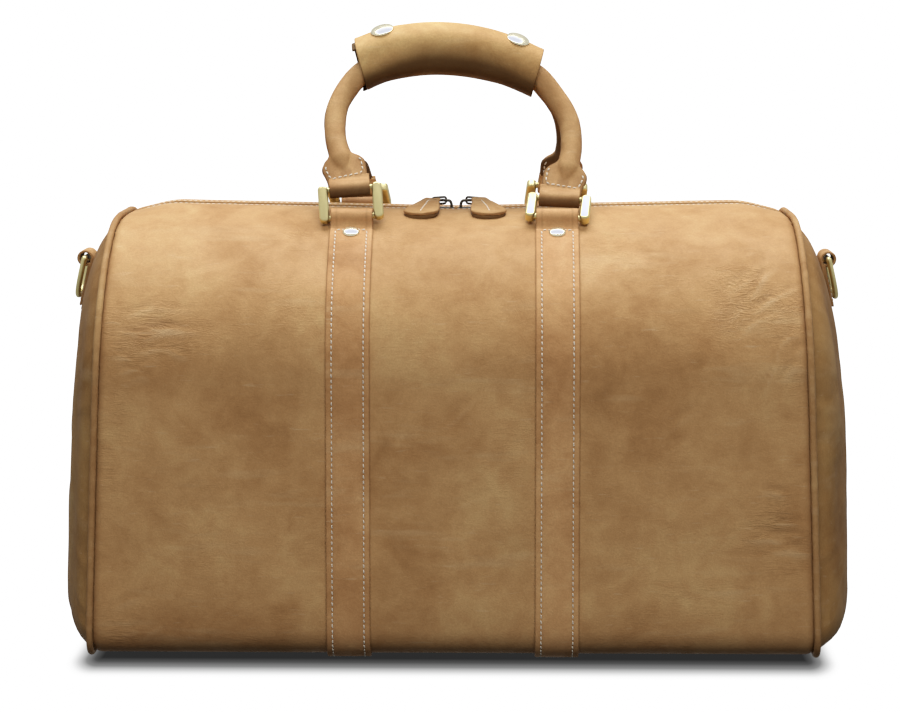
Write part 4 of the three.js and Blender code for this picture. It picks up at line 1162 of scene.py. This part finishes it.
# ---- grip wrap ----
GRIP_LEFT, GRIP_RIGHT = -63.0, 53.0  # x of its ends
GRIP_DEEP, GRIP_TALL, GRIP_WALL = 16.8, 13.3, 1.8  # half depth, half height and thickness
GRIP_ROUND = 17.0  # mean radius, for lengths round it
SNAP_ANGLE = math.radians(66)
SNAP_INSET = {-1: 21.0, 1: 19.5}  # of each cap from its end
FLAP_OFFSET = 2.5  # of the flap from the wrap under it
GRIP_STRAIGHT = 11.0  # the stiff sheet stays straight this far from each end
GRIP_SQUARE = 0.86  # below 1, the wrap is squarer than an oval
GRIP_LIFT, GRIP_TILT = 0.8, 0.03  # how the loose wrap sits on the rolls
GRIP_SHEAR = 2.6  # how much further in the ends are cut at the top than square ends would be


def grip_stations(count):
    """The arch's middle line inside the grip and past its ends, its up axes and run from the left end."""
    points = arch_points("front")
    points[:, 1] = 0
    points[:, 2] += GRIP_LIFT - GRIP_TILT * points[:, 0]
    fine = catmull(points, 2000)
    high = fine[:, 2] > fine[:, 2].max() - 45
    path = resample(fine[high], count)
    tangent = unit(np.gradient(path, axis=0))
    up = unit(vec(-tangent[:, 2], 0, tangent[:, 0]))
    run = run_length(path)
    middle = int(np.argmax(path[:, 2]))
    start = np.interp(GRIP_LEFT, path[:middle, 0], run[:middle]) + GRIP_STRAIGHT
    end = np.interp(GRIP_RIGHT, path[middle:, 0], run[middle:]) - GRIP_STRAIGHT
    for stop, past in ((start, run < start), (end, run > end)):
        at = int(np.argmin(np.abs(run - stop)))
        path[past] = path[at] + tangent[at] * (run[past] - run[at])[:, None]
        up[past] = up[at]
    return path, up, run - start + GRIP_STRAIGHT


def grip_point(path, up, angle, offset, tall):
    """A point round the wrap's oval, whose half height is tall, at a height above its inside."""
    out, high = (np.sign(f) * np.abs(f) ** GRIP_SQUARE for f in (np.cos(angle), np.sin(angle)))
    side = vec(0, -1, 0) * ((GRIP_DEEP + offset) * out)[..., None]
    return path + side + up * ((tall + offset) * high)[..., None]


def grip_tall(share):
    """Half the wrap's height at a share of its length."""
    share = 2 * share - 1
    return GRIP_TALL + 1 - share**2 - 0.6 * share


def grip_sheet(name, low, high, offset_at, body, node, ends):
    """A sheet of the grip's leather between two angles round its oval."""
    path, up, run = grip_stations(500)
    length = float(np.interp(GRIP_RIGHT, path[250:, 0], run[250:]))
    left_end, right_end = ends
    along = spread(left_end, length + right_end, 2.0)
    around = spread(0, math.radians(high - low) * GRIP_ROUND, 1.6)
    angle = np.broadcast_to(math.radians(low) + around / GRIP_ROUND, (len(along), len(around)))
    far = along[:, None]
    at = far + GRIP_SHEAR * np.sin(angle) * (1 - 2 * far / length)
    path = line_at(at, run, path)
    up = unit(line_at(at, run, up))
    mid = offset_at(np.degrees(angle)) + GRIP_WALL / 2
    if node == "grip_flap":
        spot = vec(far, np.cos(angle) * GRIP_ROUND, np.sin(angle) * GRIP_ROUND)
        waves = 0.3 * noise(spot / 26, 71) + 0.096 * noise(spot / 9, 72)
        mid = mid + waves * smooth(0, 12, np.minimum(far, length - far))
    from_end = np.minimum(along - left_end, length + right_end - along)
    half = sheet_half(from_end, np.minimum(around, around.max() - around), GRIP_WALL)
    flare = 0.5 * np.exp(-from_end[:, None] / 4.0)
    tall = grip_tall(far / length)
    grids = [grip_point(path, up, angle, mid + flare + sign * half, tall) for sign in (1, -1)]
    shift = 16 * (1 - smooth(10, 50, far)) + 6 * smooth(length - 40, length - 5, far)
    degrees = np.degrees(angle) + shift
    under = smooth(24, -20, degrees) * (1 - 0.4 * smooth(-46, -80, degrees)) + smooth(164, 214, degrees)
    if node == "grip_wrap":
        under = np.maximum(under, 0.95 * (1 - smooth(3, 9, far - left_end)))
    fields = {"edge": both(rim_field(along, around, 0.9)), "shade": both(under)}
    return add(name, shell(*grids), GRIP_LEATHER, body, "strap_leather", node, **fields)


def grip():
    under = lambda degrees: np.zeros_like(degrees)
    grip_sheet("grip_wrap_leather", 44, 266, under, "front_handle", "grip_wrap", (-1.5, -2.0))
    over = lambda degrees: FLAP_OFFSET * smooth(-20, 48, degrees)
    flap = grip_sheet("grip_flap_leather", -92, 128, over, None, "grip_flap", (1.7, 0.4))
    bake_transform(flap)


def snap(side):
    path, up, run = grip_stations(1500)
    length = float(np.interp(GRIP_RIGHT, path[750:, 0], run[750:]))
    k = int(np.argmin(np.abs(run - (SNAP_INSET[side] if side < 0 else length - SNAP_INSET[side]))))
    tall = grip_tall(run[k] / length)
    inner, outer = (grip_point(path[k], up[k], np.array(SNAP_ANGLE), np.array(d), tall) for d in (0.0, 4.0))
    normal = unit(outer - inner)
    x_axis = unit(np.cross([0, 1.0, 0], normal))
    under = FLAP_OFFSET + GRIP_WALL + 0.15
    dome = [
        (1.9, -0.1), (6.6, -0.1), (7.35, 0.05), (7.65, 0.4), (7.5, 0.8), (7.0, 1.1), (6.0, 1.5), (4.6, 1.9),
        (3.0, 2.18), (1.4, 2.34), (0, 2.4),
    ]
    profile = [(0, 1.2), (1.9, 1.2)] + [(radius, under + height) for radius, height in dome]
    part = placed(lathe(profile, 52), inner, [x_axis, np.cross(normal, x_axis), normal])
    name = SIDES[side]
    add(f"snap_dome_{name}", part, CAP_BRASS, "grip_flap", "brass", f"snap_cap_{name}")


# ---- zipper ----
TAPE_Z = CROWN - LEATHER - 0.4 - 0.3  # the middle of the tapes, which lie under the panels
TAPE_INNER, TAPE_OUTER = 3.3, 21.0
TAPE_END = 217.5  # the tapes run into the end seams


def zip_tapes():
    """A tape on each side; their inner edges meet past the ends of the teeth."""
    for face, sign in (("front", -1), ("back", 1)):
        x = spread(-TAPE_END, TAPE_END, 3.0)[:, None]
        across = spread(TAPE_INNER, TAPE_OUTER, 1.2)
        inner = TAPE_INNER - 3.2 * smooth(196, 201, np.abs(x))
        y = inner + (TAPE_OUTER - inner) * (across - TAPE_INNER) / (TAPE_OUTER - TAPE_INNER)
        bead = 0.5 * np.exp(-(((across - TAPE_INNER - 0.8) / 0.7) ** 2))
        mid = TAPE_Z + crown_rise(x) + 0.06 * noise(vec(x / 7, y / 7, sign), 81)
        from_edge = np.minimum(np.minimum(across - TAPE_INNER, TAPE_OUTER - across), TAPE_END - np.abs(x))
        half = 0.3 * np.clip(from_edge / 0.25, 0, 1)
        part = shell(vec(x, sign * y, mid + half + bead * 0.6), vec(x, sign * y, mid - half - bead * 0.4))
        add(f"tape_woven_{face}", part, TAPE, "bag", "zipper_tape", f"zipper_tape_{face}")


def zip_teeth():
    """Cast teeth, interleaved across the middle."""
    pitch, half_length = 3.0, 195.0
    outline = np.array([(0.95, 3.1), (0.95, 1.4), (0.62, 0.9), (0.78, 0.1), (0.5, -0.55), (0, -0.75)])
    outline = np.vstack([outline, (outline[:-1] * [-1, 1])[::-1]])
    tooth = prism(outline, 2.2, 0.3, 2)
    stop = prism([(1.6, 3.2), (1.6, 0.2), (-1.6, 0.2), (-1.6, 3.2)], 2.6, 0.3, 2)
    for face, sign in (("front", -1), ("back", 1)):
        first = 1 - half_length + (pitch / 2 if sign > 0 else 0)
        cast = [(tooth, first + k * pitch) for k in range(int(2 * half_length / pitch))]
        cast += [(stop, end * (half_length + 1.6)) for end in (-1, 1)]
        parts = []
        for (verts, faces), x in cast:
            parts.append((verts * [1, sign, 1] + [x, 0, TAPE_Z + float(crown_rise(x))], faces))
        add(f"teeth_{face}", merged(parts), TEETH_METAL, "bag", "dark_metal", f"zipper_teeth_{face}")


SLIDER_X = {-1: -8.5, 1: 8.5}
PLATE_OFFSET, PLATE, BRIDGE = 1.6, 1.3, 4.5  # a slider's gap, plates and arch


def slider(side):
    """Two plates joined by a neck, with an arch over them that holds the pull."""
    name = SIDES[side]
    wedge = np.array([(-7, -3.6), (-4, -4.9), (4, -5), (7, -4.4), (7, 4.4), (4, 5), (-4, 4.9), (-7, 3.6)])
    verts, faces = prism(wedge * [side, 1], PLATE, 0.35, 2)
    parts = [(verts + [0, 0, sign * (PLATE_OFFSET + PLATE / 2)], faces) for sign in (-1, 1)]
    parts.append(prism(rounded_rectangle(4, 0.9, 0.252, 4), 2 * PLATE_OFFSET + 0.6, 0.1, 2))
    up = [(5.4, -0.6), (5.2, 2.4), (4.2, 4.2), (2, BRIDGE)]
    arch = [(-x, 0, PLATE_OFFSET + PLATE + z) for x, z in up] + [(x, 0, PLATE_OFFSET + PLATE + z) for x, z in up[::-1]]
    parts.append(tube(catmull(arch, 30), 0.95, 12, False, (0, 1, 0)))
    x0 = SLIDER_X[side]
    slope = -side * math.atan2(TOP_RISE, RISE_AT)
    c, s = math.cos(slope), math.sin(slope)
    part = placed(merged(parts), [x0, 0, TAPE_Z + float(crown_rise(x0))], [[c, 0, -s], [0, 1, 0], [s, 0, c]])
    add(f"slider_body_{name}", part, DARK_METAL, f"slider_{name}", "dark_metal", f"slider_{name}")


LINK_LONG, LINK_WIDE, LINK_WIRE, LINK_BACK = 16.0, 5.8, 1.5, 3.8  # the last is behind its axis
PULL_AXIS_Z = TAPE_Z + PLATE_OFFSET + PLATE + BRIDGE


def pull_frame(side):
    """A pull's hinge on its slider and the level direction it points in."""
    yaw = side * math.radians(40)
    x0 = SLIDER_X[side]
    origin = np.array([x0, 0, PULL_AXIS_Z + float(crown_rise(x0))])
    forward = np.array([math.sin(yaw), -math.cos(yaw), 0])
    return origin, forward


def pull_link(side):
    name = SIDES[side]
    origin, forward = pull_frame(side)
    radius = (LINK_WIDE - LINK_WIRE) / 2
    a = np.linspace(-PI / 2, PI / 2, 14)
    far = np.stack([(LINK_LONG - LINK_WIDE) / 2 + radius * np.cos(a), radius * np.sin(a)], 1)
    loop = np.vstack([far, -far]) + [LINK_LONG / 2 - LINK_BACK, 0]
    path = origin + loop[:, :1] * forward + loop[:, 1:] * np.array([0, 0, 1.0])
    path = resample(np.vstack([path, path[:1]]), 61)[:-1]
    part = tube(path, LINK_WIRE / 2, 12, True, np.cross(forward, [0, 0, 1.0]))
    add(f"pull_wire_{name}", part, DARK_METAL, f"pull_{name}", "dark_metal", f"pull_link_{name}")


TAB_LONG, TAB_BACK = 44.0, 3.8  # from the eye to each end
TAB_DROOP = 2.4


def tab_outline_half(v):
    """Half the width of a pull tab at v from its eye towards its far end."""
    stations = [-3.8, -3.4, -2.5, 0, 8, 18, 27, 34, 37.5, 40.5, 42.6, 43.6, 44.0]
    widths = [3.0, 4.4, 5.3, 5.7, 6.5, 8.6, 10.6, 11.6, 11.5, 10.3, 7.6, 4.6, 0.6]
    return np.interp(v, stations, widths)


def pull_tab(side):
    """Two layers of leather, the upper one puffed and stitched down the middle."""
    name = SIDES[side]
    origin, forward = pull_frame(side)
    start = origin + forward * (LINK_LONG - LINK_BACK - LINK_WIRE / 2 - 0.2)
    yaw, droop = side * math.radians(10), math.radians(5.5)
    run = np.array([math.sin(yaw) * math.cos(droop), -math.cos(yaw) * math.cos(droop), -math.sin(droop)])
    across_axis = unit(np.cross(run, [0, 0, 1.0]))
    up = np.cross(across_axis, run)
    along = spread(-TAB_BACK, TAB_LONG, 1.3)
    share = np.concatenate([[-1, -0.985, -0.95, -0.9], np.linspace(-0.84, 0.84, 21), [0.9, 0.95, 0.985, 1]])
    far = along[:, None]
    width = tab_outline_half(far)
    a = share * width
    distance = np.minimum(width - np.abs(a), np.minimum(far + TAB_BACK, TAB_LONG - far))
    bend = 0.4 * noise(vec(far / 14, a / 10, side), 91) - TAB_DROOP * np.clip(far / TAB_LONG, 0, 1) ** 2
    puffed = 0.5 * np.exp(-((a / 6) ** 2)) * smooth(6, 14, far) * (1 - smooth(34, 41, far))
    groove = 0.4 * np.exp(-((a / 0.7) ** 2)) * smooth(4, 7, far) * (1 - smooth(38, 42, far))
    parts, shades = [], []
    for low, high, inset, relief, dark in ((-2.5, -0.22, 0.35, 0, 0.8), (0.0, 2.05, 0.0, puffed - groove, 0.0)):
        half = rim(distance * 0.9, high - low)
        mid = (low + high) / 2 + bend
        top = mid + half + relief * np.clip(half / ((high - low) / 2), 0, 1)
        a_in = share * np.maximum(width - inset, 0.4)
        flat = start + far[..., None] * run + a_in[..., None] * across_axis
        top, bottom = (flat + h[..., None] * up for h in (top, mid - half))
        parts.append(shell(top, bottom))
        shades.append(np.full(len(parts[-1][0]), dark))
    edge = np.tile(both(np.clip(1 - distance / 0.8, 0, 1)), 2)
    fields = {"edge": edge, "shade": np.concatenate(shades)}
    body = f"pull_{name}"
    part = merged(parts)
    add(f"pull_leather_{name}", part, TAB_LEATHER, body, "strap_leather", f"pull_tab_{name}", **fields)
    line = top[(along > 5) & (along < 39), len(share) // 2]
    stitches(f"pull_stitches_{name}", [(line, up, {"pitch": 3.2, "radius": 0.4, "fill": 0.82})], body)


# ---- ends ----
END_Z = 247.0
END_BAR_X = CAD_TAB_SURFACE + 6.9
END_SLOPE = math.radians(14.5)  # how far the ends' tabs lean from upright


def end_tab(side):
    """A loop of leather sewn to the end, with the ring's bar through it."""
    name = SIDES[side]
    down = np.array([math.sin(END_SLOPE), 0, -math.cos(END_SLOPE)])
    out = np.array([math.cos(END_SLOPE), 0, math.sin(END_SLOPE)])
    centre = np.array([END_BAR_X, 0, END_Z])
    points = [(-6.0, 34), (-5.9, 22), (-5.6, 12), (-5.0, 6.5)]
    points += arc(LOOP_MID, range(-170, 150, 12))
    points += [(-3.55, 5.4), (-3.75, 8), (-4.0, 12), (-4.3, 22), (-4.4, 31.5)]
    path = catmull(np.array(points), 110)
    across = spread(-12.5, 12.5, 1.3, (-END_STITCH, END_STITCH))
    verts, faces = folded_strip(path, across, centre, np.array([0, 1.0, 0]), out, down)
    mirror = np.array([side, 1, 1])
    edge = both(rim_field(run_length(path), across, 0.8))
    part = (verts * mirror, faces)
    add(f"end_loop_{name}", part, TAB_LEATHER, "bag", "strap_leather", f"end_tab_{name}", edge=edge)
    corners = []
    for y, d in [(-1, 9), (-1, 29), (1, 29), (1, 9), (-1, 9)]:
        depth = np.interp(d, [6, 12, 22, 34], [-2.8, -3.1, -3.45, -3.6])
        corners.append(centre + depth * out + d * down + np.array([0, y * END_STITCH, 0]))
    lines = [np.linspace(a, b, 12) * mirror for a, b in zip(corners[:-1], corners[1:])]
    stitches(f"end_stitches_{name}", [(line, out * mirror, {"pitch": 3.2}) for line in lines], "bag")


def end_ring(side):
    """A D-ring: a straight bar and a bow, which hangs a little less steeply than the tab."""
    name = SIDES[side]
    half = (35.0 - 4.0) / 2
    bottom = -(30.0 - 4.0)
    corners = np.array([(-half, -6), (-half, bottom * 0.78), (-half * 0.62, bottom), (0, bottom)])
    t = np.linspace(0, 1, 24)[:, None]
    left = sum(c * (1 - t) ** (3 - k) * t**k * corners[k] for k, c in enumerate((1, 3, 3, 1)))
    top = np.linspace(half - 0.8, -half + 0.8, 20)
    right = (left[:-1] * [-1, 1])[::-1]
    outline = np.vstack([[(-half, -0.2)], left, right, [(half, -0.2)], np.stack([top, np.zeros(20)], 1)])
    outline = resample(np.vstack([outline, outline[:1]]), 141)[:-1]
    lean = math.radians(13)
    down = np.array([math.sin(lean), 0, -math.cos(lean)])
    wide = np.array([0, 1.0, 0])
    path = np.array([END_BAR_X, 0, END_Z]) + outline[:, :1] * wide - outline[:, 1:] * down
    verts, faces = tube(path, 1.95, 14, True, np.cross(down, wide), 0.95)
    part = (verts * [side, 1, 1], faces)
    add(f"d_ring_{name}", part, BRASS, f"end_ring_{name}", "brass", f"end_ring_{name}")


# ---- inside and the CAD pieces that stay ----
def dress_cad():
    """Materials for the frame's own pieces that stay in the picture."""
    looks = {"lining": COTTON, "slip_pocket": COTTON, "base_board": BOARD}
    looks |= {"handle_core_front": CORD, "handle_core_back": CORD}
    looks |= {"snap_socket_left": CAP_BRASS, "snap_socket_right": CAP_BRASS}
    for node, material in looks.items():
        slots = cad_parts[node].data.materials
        slots.clear()
        slots.append(material)


# ---- stage ----
def area_light(name, place, target, size, power, mirrored=True):
    light = bpy.data.lights.new(name, "AREA")
    light.shape = "RECTANGLE"
    light.size, light.size_y = size
    light.energy = power
    lamp = bpy.data.objects.new(name, light)
    lamp.location = place
    lamp.visible_glossy = mirrored
    lamp.rotation_euler = (Vector(target) - Vector(place)).to_track_quat("-Z", "Y").to_euler()
    bpy.context.scene.collection.objects.link(lamp)


def stage():
    scene = bpy.context.scene
    scene.view_settings.view_transform = "Standard"
    soft_shoulder(scene.view_settings)
    world = bpy.data.worlds.new("studio")
    scene.world = world
    world.use_nodes = True
    socket = world.node_tree.nodes["Background"].inputs["Color"]
    by_ray(Nodes(world.node_tree), socket, (0.05, 0.05, 0.05), (0.72, 0.72, 0.7), (PAPER_WHITE,) * 3)
    reach = 6.0
    mesh = bpy.data.meshes.new("floor")
    corners = [(-reach, -reach, 0), (reach, -reach, 0), (reach, reach, 0), (-reach, reach, 0)]
    mesh.from_pydata(corners, [], [(0, 1, 2, 3)])
    floor = bpy.data.objects.new("floor", mesh)
    scene.collection.objects.link(floor)
    mesh.materials.append(floor_material())
    area_light("top", (0.0, 0.2, 1.85), (0, -0.03, 0.2), (1.7, 0.8), 50)
    area_light("front", (0.1, -2.0, 1.75), (0, 0, 0.16), (2.0, 0.7), 52, mirrored=False)


PAPER_WHITE = 2.0  # the floor's and background's brightness
# Scene brightness and how bright it is shown: a straight line with a soft shoulder.
SHOULDER_CURVE = [(0, 0), (0.3, 0.3), (0.5, 0.46), (0.8, 0.66), (1.1, 0.82), (1.6, 0.98), (2.0, 1.0)]


def soft_shoulder(view):
    """Sets the picture's curve to SHOULDER_CURVE."""
    view.use_curve_mapping = True
    mapping = view.curve_mapping
    mapping.use_clip = False
    mapping.clip_max_x = PAPER_WHITE
    points = mapping.curves[3].points
    while len(points) < len(SHOULDER_CURVE):
        points.new(0.5, 0.5)
    for point, place in zip(points, SHOULDER_CURVE):
        point.location = place
    mapping.update()


def by_ray(n, socket, diffuse, glossy, seen):
    """A colour that depends on whether a diffuse, glossy or camera ray meets it."""
    path = n.new("LightPath")
    value = n.mix(path.outputs["Is Glossy Ray"], diffuse, glossy)
    n.put(socket, n.mix(path.outputs["Is Camera Ray"], value, seen))


def floor_material():
    """Overexposed paper, with a painted contact shadow round the bag's base."""
    material, n, shader = new_material("floor_paper")
    parts = n.parts()
    foot = ((SEAM_BASE - 8) * MM, (HALF_DEPTH - CORNER + 9) * MM)
    squares = []
    for axis, steep in enumerate((2.6, 1.0)):
        past = n.math("SUBTRACT", n.math("ABSOLUTE", parts[axis]), foot[axis])
        past = n.math("MULTIPLY", n.math("MAXIMUM", past, 0.0), steep)
        squares.append(n.math("POWER", past, 2.0))
    distance = n.math("SQRT", n.math("ADD", *squares))
    # Painted contact shadow: the paper greys towards black near the bag's footprint.
    shadow_greys = [(0, 0.012), (0.14, 0.04), (0.3, 0.13), (0.45, 0.42), (0.6, 0.78), (0.78, 0.97), (1, 1)]
    shade = n.ramp(n.span(distance, 0, 0.085), [(at, (g, g, g)) for at, g in shadow_greys])
    shader.inputs["Base Color"].default_value = (0, 0, 0, 1)
    shader.inputs["Specular IOR Level"].default_value = 0
    shader.inputs["Emission Strength"].default_value = PAPER_WHITE
    by_ray(n, shader.inputs["Emission Color"], (0.03, 0.03, 0.03), (0.2, 0.2, 0.19), shade)
    return material


def camera():
    """The photo's viewing angle."""
    lens = bpy.data.cameras.new("camera")
    eye = bpy.data.objects.new("camera", lens)
    bpy.context.scene.collection.objects.link(eye)
    bpy.context.scene.camera = eye
    lens.sensor_width = 36
    lens.lens = 120.8
    lens.clip_end = 50
    lens.shift_y = 0.0033
    eye.location = (0.0363, -2.0, 0.415)
    pitch, yaw = math.radians(6.73), math.radians(1.157)
    eye.rotation_euler = (PI / 2 - pitch, 0, yaw)


for is_back in (False, True):
    body_panel(is_back)
for which in (-1, 1):
    for make in (end_panel, piping, strap, slider, pull_link, pull_tab, end_tab, end_ring, snap):
        make(which)
    for way in ("front", "back"):
        rivet(way, which)
        ring(way, which)
for way in ("front", "back"):
    handle(way)
grip()
zip_tapes()
zip_teeth()
dress_cad()
stage()
camera()

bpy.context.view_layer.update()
